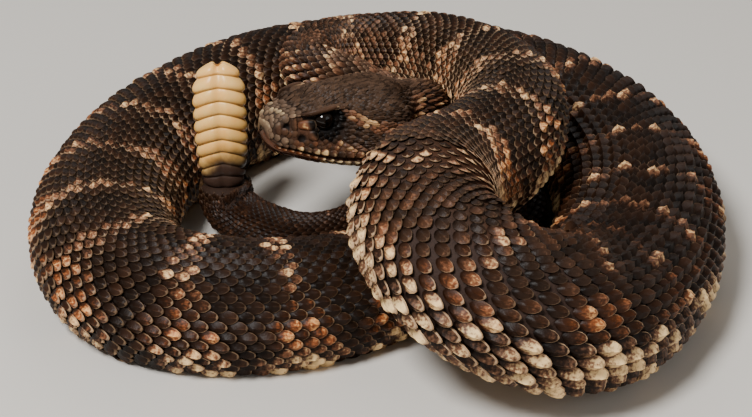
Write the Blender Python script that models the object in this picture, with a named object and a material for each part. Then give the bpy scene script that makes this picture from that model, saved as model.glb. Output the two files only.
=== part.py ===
"""Southern Pacific rattlesnake, coiled and alert, as a still model at life size. Metres, +Z up.

The animal rests on the floor, z = 0, with the head turned back over the coil toward -X.
Neck, torso and tail are one tube swept along ROUTE and parted into lengths. The head and the
rattle are lofts that start from the tube's two ends.
"""

import math

import bmesh
import bpy
import numpy as np
from mathutils import Vector

MM = 0.001
GAP = 0.3  # between neighbouring pieces, mm

# Line along the middle of the belly, from the head to the rattle: x, y, height over the floor,
# then the body's width and height, all in mm.
ROUTE = (
    (8.0, 28.0, 27.5, 14, 13),
    (11.4, 32.8, 24.4, 13, 12.5),
    (9.8, 38.8, 21.6, 12.5, 12),
    (3.6, 42.4, 22, 12.5, 12),
    (-3.4, 43.4, 24.2, 12.8, 12.2),
    (-10.5, 44, 27.2, 13.3, 12.8),
    (-16.2, 46.6, 28.5, 13.8, 13.2),
    (-18, 52.4, 28.5, 14, 13.5),
    (-15.6, 58.2, 28, 14.5, 14),
    (-9, 61.6, 27.5, 15, 14.5),
    (3, 60.4, 27, 17, 16.5),
    (15, 54.5, 27, 20, 19),
    (26, 43, 27, 22.5, 21),
    (33, 27, 27, 25, 23),
    (32.5, 8, 26.4, 27.2, 24.4),
    (22.4, -8.4, 26, 29.4, 25.6),
    (11.8, -24.6, 26.2, 33.6, 28),
    (12.8, -40, 22.6, 36.6, 29.6),
    (24.2, -50.8, 15, 38, 31),
    (39.4, -49.2, 7, 39.5, 32),
    (51, -37, 2, 40.5, 32),
    (60, -19, 0, 40.5, 32),
    (65.5, 7, 0, 40, 32),
    (62, 37, 0, 39, 31),
    (48, 62, 0, 38, 31),
    (24, 79, 0, 38, 31),
    (-3, 84, 0, 37, 30),
    (-30, 76, 0, 37, 30),
    (-51, 57, 0, 37, 29),
    (-64, 30, 0, 36, 29),
    (-67, 2, 0, 36, 29),
    (-58, -22, 0, 36, 28),
    (-37, -31, 0, 35, 27),
    (-14, -27, 0, 33, 25),
    (5, -16, 0, 30, 23),
    (19, -4, 0, 27, 22),
    (29, 8, 0, 24, 20),
    (32, 22, 0, 22, 18.5),
    (28, 33, 0, 20.5, 17.5),
    (18.5, 36.5, 0, 19, 17),
    (9, 31, 0, 18, 16.5),
    (2, 20, 0, 16.5, 15.5),
    (-6, 10, 0, 15, 14.5),
    (-17, 8, 0, 13.8, 13.2),
    (-29, 15, 0, 12.8, 12.4),
    (-37, 21.5, 2, 12.4, 12),
    (-41.8, 25, 7, 12.2, 11.8),
    (-43.3, 25.8, 13.5, 12, 11.6),
)
MIDDLE = (0.2, 15.9)  # of the coil's box in ROUTE, which stands over the origin
HEAD_YAW = 27  # degrees that the snout turns from -X toward -Y
HEAD_ROLL = 6  # degrees that the head's left side is raised
ROLL_CENTRE = 6.5  # height of the roll's axis over the neck's belly, mm
HEAD_PITCH = 3  # degrees that the snout is lifted
TAIL_PITCH = 89  # degrees that the tail's end rises

# Where the tube is parted, as numbers of ROUTE's points, and the length that ends there.
LENGTHS = (
    (5, "neck"),
    (10, "torso_1"),
    (13, "torso_2"),
    (16, "torso_3"),
    (18, "torso_4"),
    (20, "torso_5"),
    (22, "torso_6"),
    (24, "torso_7"),
    (26, "torso_8"),
    (28, "torso_9"),
    (30, "torso_10"),
    (33, "torso_11"),
    (36, "torso_12"),
    (39, "torso_13"),
    (42, "torso_14"),
    (47, "tail"),
)
SIDES = 24
RING_STEP = 6.0  # between the tube's rings, mm
EVEN_ROUNDS = 900  # that ease the turns where the body is thick
EVEN_START = 12.0  # length at the head and at the rattle over which the easing sets in, mm
INNER_SHARE = 0.94  # of a turn's radius that the body's inner side may reach
BELLY_SHARE = 0.44  # of the body's height that lies under its widest level

# Head: distance behind the snout, half widths at the brow, the lips and the jaw, then heights
# of the crown, the brow's edge, the line of the mouth and the throat over the neck's belly.
HEAD_LENGTH = 41.5
HEAD_STATIONS = (
    (0, 4.4, 5.4, 4.4, 9.4, 8.8, 3.4, 1.2),
    (4, 5.4, 6.8, 5.8, 11.0, 10.6, 2.7, 0.1),
    (8, 7.2, 8.2, 7.2, 11.8, 11.6, 1.5, -1.4),
    (10.5, 9.0, 9.2, 8.4, 12.2, 12.3, 0.7, -2.1),
    (15, 9.7, 10.9, 10.2, 13.2, 12.9, -0.2, -3.0),
    (18, 9.6, 12.1, 11.5, 14.4, 12.6, -0.6, -3.5),
    (24, 11.6, 14.6, 14.2, 15.2, 11.4, -0.5, -4.1),
    (30, 13.2, 15.4, 15.2, 15.0, 10.8, 1.0, -3.8),
    (36, 11.4, 12.8, 12.4, 14.2, 10.2, 3.0, -2.2),
    (41.5, 7.0, 7.0, 7.0, 13.0, 10.0, 5.0, 0.0),
)
SNOUT_ROUND = 3.4  # length over which the snout closes
SNOUT_LEVEL = 6.6  # height of its foremost point
NECK_BLEND = (33, 41.5)  # where the head takes over the neck's section
LIP_EDGE = 0.35
MOUTH_DEPTH = 0.8
MOUTH_CORNER = (27, 32)  # where the line of the mouth fades out
SNOUT_RIDGE = (3, 9)  # where the round snout takes on the sharp edge of the brow
BROW_RIDGE = (15.5, 20)  # where that edge fades into a round cheek
HEAD_RINGS = 34

EYE_RADIUS = 2.5
EYE_PLACE = (13.2, 7.9, 9.6)  # behind the snout, out from the middle, over the neck's belly
PIT_RADIUS = 1.0
PIT_PLACE = (7.6, 7.7, 5.2)
NOSTRIL_RADIUS = 0.8
NOSTRIL_PLACE = (4.4, 5.8, 8.2)

RATTLE_SEGMENTS = 10
SEGMENT_PITCH = 3.3
RATTLE_TURN = -28  # degrees that the rattle is turned about its own length
RATTLE_LEAN = 14  # degrees that it bends toward one broad side, up to its end
RATTLE_BOW = 2.2  # how far each segment's rim drops toward its edges, mm
RATTLE_WIDTH = 13.5
RATTLE_THICKNESS = 8.0
RATTLE_SIDES = 20
SEGMENT_PROFILE = ((0.0, 0.88), (0.2, 0.97), (0.5, 1.0), (0.8, 0.97))
RATTLE_GROOVE = 0.16  # depth of the groove down the middle of each broad face, share of thickness

SKIN = (0.055, 0.040, 0.032, 1)
EYE = (0.012, 0.010, 0.009, 1)
HORN = (0.62, 0.43, 0.24, 1)


def clear_scene():
    for obj in list(bpy.data.objects):
        bpy.data.objects.remove(obj)


def material(name, colour, roughness):
    made = bpy.data.materials.new(name)
    made.use_nodes = True
    shader = made.node_tree.nodes["Principled BSDF"]
    shader.inputs["Base Color"].default_value = colour
    shader.inputs["Roughness"].default_value = roughness
    return made


def solve_spline(at, values, start_slope, end_slope):
    """Second derivatives of the cubic through the points, with its slope given at both ends."""
    step = np.diff(at)
    rise = np.diff(values) / step
    n = len(at)
    matrix = np.zeros((n, n))
    right = np.zeros(n)
    matrix[0, :2] = 2 * step[0], step[0]
    right[0] = 6 * (rise[0] - start_slope)
    matrix[-1, -2:] = step[-1], 2 * step[-1]
    right[-1] = 6 * (end_slope - rise[-1])
    for i in range(1, n - 1):
        matrix[i, i - 1 : i + 2] = step[i - 1], 2 * (step[i - 1] + step[i]), step[i]
        right[i] = 6 * (rise[i] - rise[i - 1])
    return np.linalg.solve(matrix, right)


def spline(at, values, start_slope, end_slope, where):
    """Smooth curve through the points, for the body's turns."""
    bend = solve_spline(at, values, start_slope, end_slope)
    i = np.clip(np.searchsorted(at, where, side="right") - 1, 0, len(at) - 2)
    step = at[i + 1] - at[i]
    left, right = at[i + 1] - where, where - at[i]
    curve = (bend[i] * left**3 + bend[i + 1] * right**3) / (6 * step)
    line_left = (values[i] / step - bend[i] * step / 6) * left
    line_right = (values[i + 1] / step - bend[i + 1] * step / 6) * right
    return curve + line_left + line_right


def steady(at, values, where, start_slope=None, end_slope=None):
    """Curve through the points that never overshoots them, for heights and widths."""
    step = np.diff(at)
    rise = np.diff(values) / step
    slope = np.zeros(len(at))
    slope[0] = rise[0] if start_slope is None else start_slope
    slope[-1] = rise[-1] if end_slope is None else end_slope
    for i in range(1, len(at) - 1):
        if rise[i - 1] * rise[i] > 0:
            before = 2 * step[i] + step[i - 1]
            after = step[i] + 2 * step[i - 1]
            slope[i] = (before + after) / (before / rise[i - 1] + after / rise[i])
    i = np.clip(np.searchsorted(at, where, side="right") - 1, 0, len(at) - 2)
    t = (where - at[i]) / step[i]
    ends = (2 * t**3 - 3 * t**2 + 1) * values[i] + (3 * t**2 - 2 * t**3) * values[i + 1]
    tangents = (t**3 - 2 * t**2 + t) * slope[i] + (t**3 - t**2) * slope[i + 1]
    return ends + tangents * step[i]


class Body:
    """The swept tube: belly line, direction and size at any distance behind the head."""

    FINE = 4000

    def __init__(self):
        route = np.array(ROUTE, float)
        chord = np.concatenate([[0], np.cumsum(np.linalg.norm(np.diff(route[:, :3], axis=0), axis=1))])
        yaw, pitch, lift = (math.radians(a) for a in (HEAD_YAW, HEAD_PITCH, TAIL_PITCH))
        start = (math.cos(yaw), math.sin(yaw), -math.tan(pitch))
        last = route[-1, :2] - route[-2, :2]
        last = last / np.linalg.norm(last) * math.cos(lift)
        end = (last[0], last[1], math.sin(lift))
        fine = np.linspace(0, chord[-1], self.FINE)
        x = spline(chord, route[:, 0], start[0], end[0], fine)
        y = spline(chord, route[:, 1], start[1], end[1], fine)
        z = steady(chord, route[:, 2], fine, start[2], end[2])
        self.width = steady(chord, route[:, 3], fine)
        self.height = steady(chord, route[:, 4], fine)
        self.line = np.stack([x - MIDDLE[0], y - MIDDLE[1], z], axis=1)
        self.ease_turns()
        self.at = np.concatenate([[0], np.cumsum(np.linalg.norm(np.diff(self.line, axis=0), axis=1))])
        self.length = self.at[-1]
        self.ahead = np.gradient(self.line, self.at, axis=0)
        self.marks = np.interp(chord, fine, self.at)
        left = np.cross(self.ahead, (0, 0, 1))
        self.bend = (np.gradient(self.ahead, self.at, axis=0) * left).sum(axis=1)

    def ease_turns(self):
        """Evens the plan's turns out, most where the body is thick, so that no turn is too tight."""
        share = 0.5 * (self.width / self.width.max()) ** 2
        run = np.concatenate([[0], np.cumsum(np.linalg.norm(np.diff(self.line, axis=0), axis=1))])
        share *= np.clip(np.minimum(run, run[-1] - run) / EVEN_START - 0.2, 0, 1)
        share = share[1:-1, None]
        for _ in range(EVEN_ROUNDS):
            plan = self.line[:, :2]
            plan[1:-1] += share * (plan[:-2] + plan[2:] - 2 * plan[1:-1])

    def frame(self, distance):
        """Belly point and the directions toward the tail, the animal's left and its back."""
        point, ahead = (
            np.array([np.interp(distance, self.at, values[:, k]) for k in range(3)])
            for values in (self.line, self.ahead)
        )
        ahead /= np.linalg.norm(ahead)
        left = np.cross(ahead, (0, 0, 1))
        left /= np.linalg.norm(left)
        return point, ahead, left, np.cross(left, ahead)

    def size(self, distance):
        """Width, height and how sharply the line turns to the left."""
        return tuple(np.interp(distance, self.at, row) for row in (self.width, self.height, self.bend))


def body_section(width, height, bend, angles):
    """Offsets to the left and up from the belly, at angles from the spine round by the left."""
    inner = min(width / 2, INNER_SHARE / max(abs(bend), 1e-6))
    across = np.sin(angles)
    across = across * np.where(across * bend > 0, inner, width / 2)
    up = np.cos(angles) * (1 - BELLY_SHARE)
    return across, (np.maximum(up, -BELLY_SHARE) + BELLY_SHARE) * height


def placed(frame, across, up, ahead=0):
    point, along, left, back = frame
    return point + ahead * along + np.outer(across, left) + np.outer(up, back)


def loft(name, rings, finish, flat_ends=True):
    """A closed body through rings of equal count, with a middle point in each end."""
    mesh = bpy.data.meshes.new(name)
    body = bmesh.new()
    rows = [[body.verts.new(Vector(p) * MM) for p in ring] for ring in rings]
    for near, far in zip(rows, rows[1:]):
        for k in range(len(near)):
            after = (k + 1) % len(near)
            body.faces.new((near[k], near[after], far[after], far[k]))
    for row, ring in ((rows[0], rings[0]), (rows[-1], rings[-1])):
        middle = body.verts.new(Vector(np.mean(ring, axis=0)) * MM)
        for k in range(len(row)):
            body.faces.new((row[k], row[(k + 1) % len(row)], middle))
    bmesh.ops.recalc_face_normals(body, faces=body.faces)
    body.to_mesh(mesh)
    body.free()
    mesh.materials.append(finish)
    mesh.shade_smooth()
    if flat_ends:
        mesh.set_sharp_from_angle(angle=math.radians(50))
    obj = bpy.data.objects.new(name, mesh)
    bpy.context.collection.objects.link(obj)
    return obj


def body_lengths(body, finish):
    """Neck, torso and tail: each length keeps half the gap to its neighbours at each end."""
    angles = np.arange(SIDES) * 2 * math.pi / SIDES
    start = GAP
    for mark, name in LENGTHS:
        end = body.marks[mark] - GAP / 2
        count = max(3, round((end - start) / RING_STEP) + 1)
        rings = [
            placed(body.frame(at), *body_section(*body.size(at), angles))
            for at in np.linspace(start, end, count)
        ]
        loft(name, rings, finish)
        start = end + GAP


def mix(a, b, share):
    return a + (b - a) * share


def smooth_step(low, high, value):
    t = min(max((value - low) / (high - low), 0), 1)
    return t * t * (3 - 2 * t)


def head_half(brow, lip, jaw, crown, edge, mouth, throat, cut, ridge):
    """One half of the head's outline, from the middle of the crown to the middle of the throat."""
    side = edge - mouth
    return (
        (0, crown),
        (0.34 * brow, crown),
        (0.66 * brow, mix(crown, edge, 0.35)),
        (0.88 * brow, mix(crown, edge, mix(0.7, 0.85, ridge))),
        (brow, edge),
        (mix(mix(brow, lip, 0.3), 0.94 * brow, ridge), edge - 0.13 * side),
        (mix(mix(brow, lip, 0.65), mix(brow, lip, 0.1), ridge), edge - 0.36 * side),
        (mix(brow, lip, mix(0.95, 0.75, ridge)), edge - 0.62 * side),
        (lip, mouth + 0.16 * side),
        (0.985 * lip, mouth + LIP_EDGE),
        (0.97 * lip - cut, mouth),
        (0.965 * lip, mouth - LIP_EDGE),
        (jaw, mix(mouth, throat, 0.4)),
        (0.86 * jaw, mix(mouth, throat, 0.76)),
        (0.52 * jaw, mix(mouth, throat, 0.96)),
        (0, throat),
    )


def head_ring(body, behind):
    """The head's outline at a distance behind the snout, in the frame of the neck's first ring."""
    stations = np.array(HEAD_STATIONS, float)
    sizes = [steady(stations[:, 0], stations[:, k], behind) for k in range(1, 8)]
    cut = MOUTH_DEPTH * (1 - smooth_step(*MOUTH_CORNER, behind))
    ridge = smooth_step(*SNOUT_RIDGE, behind) * (1 - smooth_step(*BROW_RIDGE, behind))
    half = np.array(head_half(*sizes, cut, ridge))
    neck = np.stack(body_section(*body.size(0), np.linspace(0, math.pi, len(half))), axis=1)
    half = mix(half, neck, smooth_step(*NECK_BLEND, behind))
    closing = min(behind / SNOUT_ROUND, 1)
    closing = math.sqrt(1 - (1 - closing) ** 2)
    half[:, 0] *= closing
    half[:, 1] = mix(SNOUT_LEVEL, half[:, 1], closing**0.8)
    other = half[-2:0:-1] * (-1, 1)
    outline = rolled(np.concatenate([half, other]), behind)
    return placed(body.frame(0), outline[:, 0], outline[:, 1], behind - HEAD_LENGTH)


def rolled(outline, behind):
    """The outline turned about the head's long axis, less and less toward the neck."""
    roll = math.radians(HEAD_ROLL) * (1 - smooth_step(*NECK_BLEND, behind))
    out, up = outline[:, 0], outline[:, 1] - ROLL_CENTRE
    turned = (out * math.cos(roll) - up * math.sin(roll), out * math.sin(roll) + up * math.cos(roll))
    return np.stack([turned[0], turned[1] + ROLL_CENTRE], axis=1)


def head_point(body, behind, out, up):
    (out, up), = rolled(np.array([(out, up)], float), behind)
    return placed(body.frame(0), [out], [up], behind - HEAD_LENGTH)[0]


def ball(name, centre, radius, detail, finish=None):
    mesh = bpy.data.meshes.new(name)
    shape = bmesh.new()
    bmesh.ops.create_icosphere(shape, subdivisions=detail, radius=radius * MM)
    bmesh.ops.translate(shape, verts=shape.verts, vec=Vector(centre) * MM)
    shape.to_mesh(mesh)
    shape.free()
    mesh.shade_smooth()
    obj = bpy.data.objects.new(name, mesh)
    bpy.context.collection.objects.link(obj)
    if finish:
        mesh.materials.append(finish)
    else:
        obj.hide_render = True
        obj.display_type = "WIRE"
    return obj


def cut_out(target, cutter):
    """Takes the cutter out of the target for good and removes it."""
    boolean = target.modifiers.new("cut", "BOOLEAN")
    boolean.operation = "DIFFERENCE"
    boolean.object = cutter
    with bpy.context.temp_override(object=target):
        bpy.ops.object.modifier_apply(modifier=boolean.name)
    bpy.data.objects.remove(cutter)


def head(body, skin, eye_finish):
    near = SNOUT_ROUND * (1 - np.cos(np.linspace(0.12, math.pi / 2, 7)))
    stations = np.concatenate([near, np.linspace(SNOUT_ROUND, HEAD_LENGTH, HEAD_RINGS - 6)[1:]])
    skull = loft("head", [head_ring(body, behind) for behind in stations], skin)
    for side, label in ((1, "left"), (-1, "right")):
        behind, out, up = EYE_PLACE
        centre = head_point(body, behind, side * out, up)
        cut_out(skull, ball(f"socket_{label}", centre, EYE_RADIUS + GAP, 3))
        ball(f"eye_{label}", centre, EYE_RADIUS, 3, eye_finish)
        for name, radius, (behind, out, up) in (
            ("pit", PIT_RADIUS, PIT_PLACE),
            ("nostril", NOSTRIL_RADIUS, NOSTRIL_PLACE),
        ):
            centre = head_point(body, behind, side * out, up)
            cut_out(skull, ball(f"{name}_{label}", centre, radius, 2))


def rattle_ring(body, along, scale):
    """Section that is deep from back to belly, with a groove down each broad side."""
    angles = np.arange(RATTLE_SIDES) * 2 * math.pi / RATTLE_SIDES
    groove = 1 - RATTLE_GROOVE * np.exp(-((np.cos(angles) / 0.25) ** 2))
    thick = np.sin(angles) * RATTLE_THICKNESS / 2 * groove * scale
    wide = np.cos(angles) * RATTLE_WIDTH / 2 * scale
    total = RATTLE_SEGMENTS * SEGMENT_PITCH
    level = smooth_step(0, 2 * SEGMENT_PITCH, along) * mix(1, 0.4, smooth_step(0.7 * total, total, along))
    drop = RATTLE_BOW * level * np.cos(angles) ** 2
    lean = math.radians(RATTLE_LEAN) * along / total
    rise = along * math.cos(lean / 2) - thick * math.sin(lean) - drop * math.cos(lean)
    thick = along * math.sin(lean / 2) + thick * math.cos(lean) - drop * math.sin(lean)
    turn = math.radians(RATTLE_TURN)
    left = thick * math.cos(turn) - wide * math.sin(turn)
    back = thick * math.sin(turn) + wide * math.cos(turn) + BELLY_SHARE * body.size(body.length)[1]
    frame = body.frame(body.length)
    return placed(frame, left, back, GAP) + np.outer(rise, frame[1])


def rattle(body, finish):
    rings = []
    for number in range(RATTLE_SEGMENTS):
        for share, scale in SEGMENT_PROFILE:
            along = (number + share) * SEGMENT_PITCH
            rings.append(rattle_ring(body, along, scale * rattle_taper(along)))
    total = RATTLE_SEGMENTS * SEGMENT_PITCH
    rings.append(rattle_ring(body, total, 0.5 * rattle_taper(total)))
    loft("rattle", rings, finish, flat_ends=False)


def rattle_taper(along):
    """Narrow at the base, full at the middle, rounded off at the last segment."""
    total = RATTLE_SEGMENTS * SEGMENT_PITCH
    widening = mix(0.73, 1, smooth_step(-0.1 * total, 0.5 * total, along))
    return widening * mix(0.72, 1, smooth_step(0, 2 * SEGMENT_PITCH, total - along))


def main():
    clear_scene()
    body = Body()
    skin = material("dark_scaled_skin", SKIN, 0.6)
    body_lengths(body, skin)
    head(body, skin, material("eye", EYE, 0.15))
    rattle(body, material("rattle_horn", HORN, 0.5))


main()
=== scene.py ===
"""Looks of a dark southern Pacific rattlesnake, coiled and alert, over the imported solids.

One skin covers head, neck, torso and tail. Small scales, head plates and belly scutes lie on it.
Places are worked out in mm on the same swept surface as the solids and set in metres at the end.
"""

import math

import bmesh
import bpy
import numpy as np
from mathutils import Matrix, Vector


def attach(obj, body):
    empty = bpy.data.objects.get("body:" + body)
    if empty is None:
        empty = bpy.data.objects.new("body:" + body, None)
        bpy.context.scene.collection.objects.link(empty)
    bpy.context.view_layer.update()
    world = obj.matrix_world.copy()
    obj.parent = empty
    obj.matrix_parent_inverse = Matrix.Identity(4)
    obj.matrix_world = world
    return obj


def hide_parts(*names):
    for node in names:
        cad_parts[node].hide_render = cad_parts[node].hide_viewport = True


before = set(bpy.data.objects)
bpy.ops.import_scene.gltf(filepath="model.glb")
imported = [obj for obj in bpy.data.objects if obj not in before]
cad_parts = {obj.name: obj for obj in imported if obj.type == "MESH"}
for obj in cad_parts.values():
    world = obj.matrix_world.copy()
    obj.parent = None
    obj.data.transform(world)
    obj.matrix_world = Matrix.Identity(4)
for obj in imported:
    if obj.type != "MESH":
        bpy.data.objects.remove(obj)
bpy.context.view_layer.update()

MM = 0.001
GAP = 0.3  # between neighbouring pieces of the solids, mm

# Line along the middle of the belly, from the head to the rattle: x, y, height over the floor,
# then the body's width and height, all in mm.
ROUTE = (
    (8.0, 28.0, 27.5, 14, 13),
    (11.4, 32.8, 24.4, 13, 12.5),
    (9.8, 38.8, 21.6, 12.5, 12),
    (3.6, 42.4, 22, 12.5, 12),
    (-3.4, 43.4, 24.2, 12.8, 12.2),
    (-10.5, 44, 27.2, 13.3, 12.8),
    (-16.2, 46.6, 28.5, 13.8, 13.2),
    (-18, 52.4, 28.5, 14, 13.5),
    (-15.6, 58.2, 28, 14.5, 14),
    (-9, 61.6, 27.5, 15, 14.5),
    (3, 60.4, 27, 17, 16.5),
    (15, 54.5, 27, 20, 19),
    (26, 43, 27, 22.5, 21),
    (33, 27, 27, 25, 23),
    (32.5, 8, 26.4, 27.2, 24.4),
    (22.4, -8.4, 26, 29.4, 25.6),
    (11.8, -24.6, 26.2, 33.6, 28),
    (12.8, -40, 22.6, 36.6, 29.6),
    (24.2, -50.8, 15, 38, 31),
    (39.4, -49.2, 7, 39.5, 32),
    (51, -37, 2, 40.5, 32),
    (60, -19, 0, 40.5, 32),
    (65.5, 7, 0, 40, 32),
    (62, 37, 0, 39, 31),
    (48, 62, 0, 38, 31),
    (24, 79, 0, 38, 31),
    (-3, 84, 0, 37, 30),
    (-30, 76, 0, 37, 30),
    (-51, 57, 0, 37, 29),
    (-64, 30, 0, 36, 29),
    (-67, 2, 0, 36, 29),
    (-58, -22, 0, 36, 28),
    (-37, -31, 0, 35, 27),
    (-14, -27, 0, 33, 25),
    (5, -16, 0, 30, 23),
    (19, -4, 0, 27, 22),
    (29, 8, 0, 24, 20),
    (32, 22, 0, 22, 18.5),
    (28, 33, 0, 20.5, 17.5),
    (18.5, 36.5, 0, 19, 17),
    (9, 31, 0, 18, 16.5),
    (2, 20, 0, 16.5, 15.5),
    (-6, 10, 0, 15, 14.5),
    (-17, 8, 0, 13.8, 13.2),
    (-29, 15, 0, 12.8, 12.4),
    (-37, 21.5, 2, 12.4, 12),
    (-41.8, 25, 7, 12.2, 11.8),
    (-43.3, 25.8, 13.5, 12, 11.6),
)
MIDDLE = (0.2, 15.9)  # of the coil's box in ROUTE, which stands over the origin
HEAD_YAW = 27  # degrees that the snout turns from -X toward -Y
HEAD_ROLL = 6  # degrees that the head's left side is raised
ROLL_CENTRE = 6.5  # height of the roll's axis over the neck's belly, mm
HEAD_PITCH = 3  # degrees that the snout is lifted
TAIL_PITCH = 89  # degrees that the tail's end rises

EVEN_ROUNDS = 900  # that ease the turns where the body is thick
EVEN_START = 12.0  # length at the head and at the rattle over which the easing sets in, mm
INNER_SHARE = 0.94  # of a turn's radius that the body's inner side may reach
BELLY_SHARE = 0.44  # of the body's height that lies under its widest level

# Head: distance behind the snout, half widths at the brow, the lips and the jaw, then heights
# of the crown, the brow's edge, the line of the mouth and the throat over the neck's belly.
HEAD_LENGTH = 41.5
HEAD_STATIONS = (
    (0, 4.4, 5.4, 4.4, 9.4, 8.8, 3.4, 1.2),
    (4, 5.4, 6.8, 5.8, 11.0, 10.6, 2.7, 0.1),
    (8, 7.2, 8.2, 7.2, 11.8, 11.6, 1.5, -1.4),
    (10.5, 9.0, 9.2, 8.4, 12.2, 12.3, 0.7, -2.1),
    (15, 9.7, 10.9, 10.2, 13.2, 12.9, -0.2, -3.0),
    (18, 9.6, 12.1, 11.5, 14.4, 12.6, -0.6, -3.5),
    (24, 11.6, 14.6, 14.2, 15.2, 11.4, -0.5, -4.1),
    (30, 13.2, 15.4, 15.2, 15.0, 10.8, 1.0, -3.8),
    (36, 11.4, 12.8, 12.4, 14.2, 10.2, 3.0, -2.2),
    (41.5, 7.0, 7.0, 7.0, 13.0, 10.0, 5.0, 0.0),
)
SNOUT_ROUND = 3.4  # length over which the snout closes
SNOUT_LEVEL = 6.6  # height of its foremost point
NECK_BLEND = (33, 41.5)  # where the head takes over the neck's section
LIP_EDGE = 0.35  # height of each lip's edge over or under the line of the mouth
MOUTH_DEPTH = 0.8  # of the groove between the lips
MOUTH_CORNER = (27, 32)  # where the line of the mouth fades out
SNOUT_RIDGE = (3, 9)  # where the round snout takes on the sharp edge of the brow
BROW_RIDGE = (15.5, 20)  # where that edge fades into a round cheek
HALF_POINTS = 16  # of one half of the head's outline
MIRROR = np.array((-1, 1)).reshape(1, 2, 1)  # turns a point of one half into the other half's

EYE_RADIUS = 2.5
EYE_PLACE = (13.2, 7.9, 9.6)  # behind the snout, out from the middle, over the neck's belly
PIT_RADIUS = 1.0
PIT_PLACE = (7.6, 7.7, 5.2)
NOSTRIL_RADIUS = 0.8
NOSTRIL_PLACE = (4.4, 5.8, 8.2)

RATTLE_SEGMENTS = 10
SEGMENT_PITCH = 3.3
RATTLE_TURN = -28  # degrees that the rattle is turned about its own length
RATTLE_LEAN = 14  # degrees that it bends toward one broad side, up to its end
RATTLE_BOW = 2.2  # how far each segment's rim drops toward its edges, mm
RATTLE_WIDTH = 13.5
RATTLE_THICKNESS = 8.0

# Skin and coat
COAT_DEPTH = 0.6  # that the skin lies inside the solids on the head, mm
BODY_COAT_DEPTH = 1.25  # the same where the body is widest, under larger scales
SKIN_COLUMNS = 180
HEAD_ROW_STEP = 0.3  # between rings of the skin's points
BODY_ROW_STEP = 2.4
VENTRAL_EDGE = 141.8  # degrees from the spine where the flat belly starts
SCALE_PITCH = 4.5  # between rings of scales where the body is widest, mm
TURN_CROWDING = 0.4  # how much closer the rings stand in a turn
GATHERED = (138, 158, 192, 205)  # distances over which the upper loop's scales stand closer still
REAR_FINER = (320, 390)  # distances over which the scales grow smaller toward the rear
REAR_SHARE = 0.86  # of their size in front that scales keep at the rear
ROW_GAP = 3.05  # between rows of scales where the body is widest
WIDEST = 40.0  # width of the body that scale sizes are given for
HEAD_SCALE_PITCH = 1.55
HEAD_ROW_GAP = 0.68  # both on the crown, mm
ROW_SPREAD = (0.38, 0.26)  # how much rows widen from the spine to the belly, on head and body
HEAD_TO_BODY = (-9, 26)  # distance over which head scales grow into body scales
CROWN_START = 8.5  # behind the snout, where the pebbles give way to keeled scales
SCALES_END = 2.0  # before the rattle
SCALES_PER_PIECE = 1650
SIZE_SPREAD = (0.93, 1.07)  # from the smallest to the largest of neighbouring scales
SCALE_TILT, TILT_SPREAD, GATHERED_TILT = 6, 4, 45  # degrees: least, by chance, and where gathered
EDGE_WIDER, EDGE_LONGER = 0.25, 0.22  # how much larger the rows next to the belly are
WIDEST_AT = 0.46  # of a scale's length, where it is widest
SEED = 7
# Width and length of scales as shares of their spacing, by how far the turn stretches the hide
SCALE_WIDTH = ((0.9, 1.15, 1.3, 1.7), (1.42, 1.32, 1.12, 1.05))
SCALE_LENGTH = ((0.5, 0.9, 1.1, 1.3, 1.5, 1.7), (1.5, 1.3, 1.22, 1.02, 1.0, 1.02))

# Crossbands: a thin pale band every BAND_PITCH along the body, through BAND_START
BAND_START = 303.7
BAND_PITCH = 20.25
BAND_SLANT = 3.0  # that a band lies farther back at the belly than at the spine, mm
BAND_HALF = (2.5, 7.0)  # half length of a band at the spine and low on the flank
FRONT_LOOP = (150, 190, 290, 330)  # distances over which the pale low edge fades in and out
BROWN_LOOP = (150, 185, 215, 255)  # the same for the browner scales on the loop's front
LOOP_EDGE = (168, 180, 196, 210)  # distances over which the flank of the loop is paler
TAIL_DARKENS = (610, 660)

# Unwrap for baked colours: strips side by side, each as long as its share of the animal
STRIPS = 7
HEAD_STRETCH = 3.0  # how much more room the head gets
SCALE_PATCH = 0.003  # size of one scale's own patch

# Marks of the head, each place behind the snout in mm and from the crown in degrees
# shade is painted shade: 1 where there is none, lower round the eyes and, on the skin, in the sockets
MARKS = ("pale", "warm", "rim", "even", "shade")
MM_PER_DEGREE = 0.19
MOUTH_ROW, LIP_TOP, CHIN_TOP = 108, 94, 132  # degrees: mouth line, upper and lower lip plates
NOSTRIL_SPOT = (2.9, 73)
BEFORE_EYE_SPOT = (8.9, 69)
EYE_SPOT = (13.2, 64)
# EYE_SHADE: a line of painted shade under the brow, in front of the eye
EYE_SHADE = ((13, 59), (8.4, 57))
EYE_LINE = ((17.5, 60), (21, 65), (25, 71), (31, 77), (41, 84))
CHEEK_STRIPE = ((7.5, 66), (11.5, 80), (15, 90), (19, 97), (27, 101))

# Plates, pebbles and scutes
PLATE_STEPS = 8
CORNER_ROUND = 0.75  # 0 for square corners, 1 for a disc
LIP_PLATES = 14
UPPER_LIPS = (1.5, 28)  # behind the snout
LOWER_LIPS = (1.3, 27)
HEAD_PLATES = (  # behind the snout from and to, degrees from the crown from and to, rise in mm
    (1.6, 2.85, 54, 80, 0.5),  # in front of the nostril
    (5.3, 6.8, 55, 76, 0.5),  # behind the nostril
    (6.9, 10.9, 63.5, 74.5, 0.6),  # upper plate in front of the eye
    (8.8, 11.2, 75.5, 86, 0.5),  # lower plate in front of the eye
)
ROSTRAL = (0.04, 1.0, -100, 100, 0.45)
BROW_SHIELD = (7.6, 16.8, 40.0, 56.5, 1.1)
BROW_SLOPE = -3.6  # degrees by which its front lies lower and its rear higher
GRANULE = (1.25, 0.92)  # closest spacing of pebbled scales on the snout and by the eye, mm
GRANULE_TRIES = 9000
GRANULES_TO = 17.5
BROW_FREE = (7.3, 17.1, 40, 57)  # where no pebble stands, under the brow shield
HOLLOWS_FREE = ((*EYE_SPOT, 3.0), (7.4, 82, 1.6), (3.9, 66, 1.4))  # the same round eye, pit and nostril
CHIN_SCALE = 1.9
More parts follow.
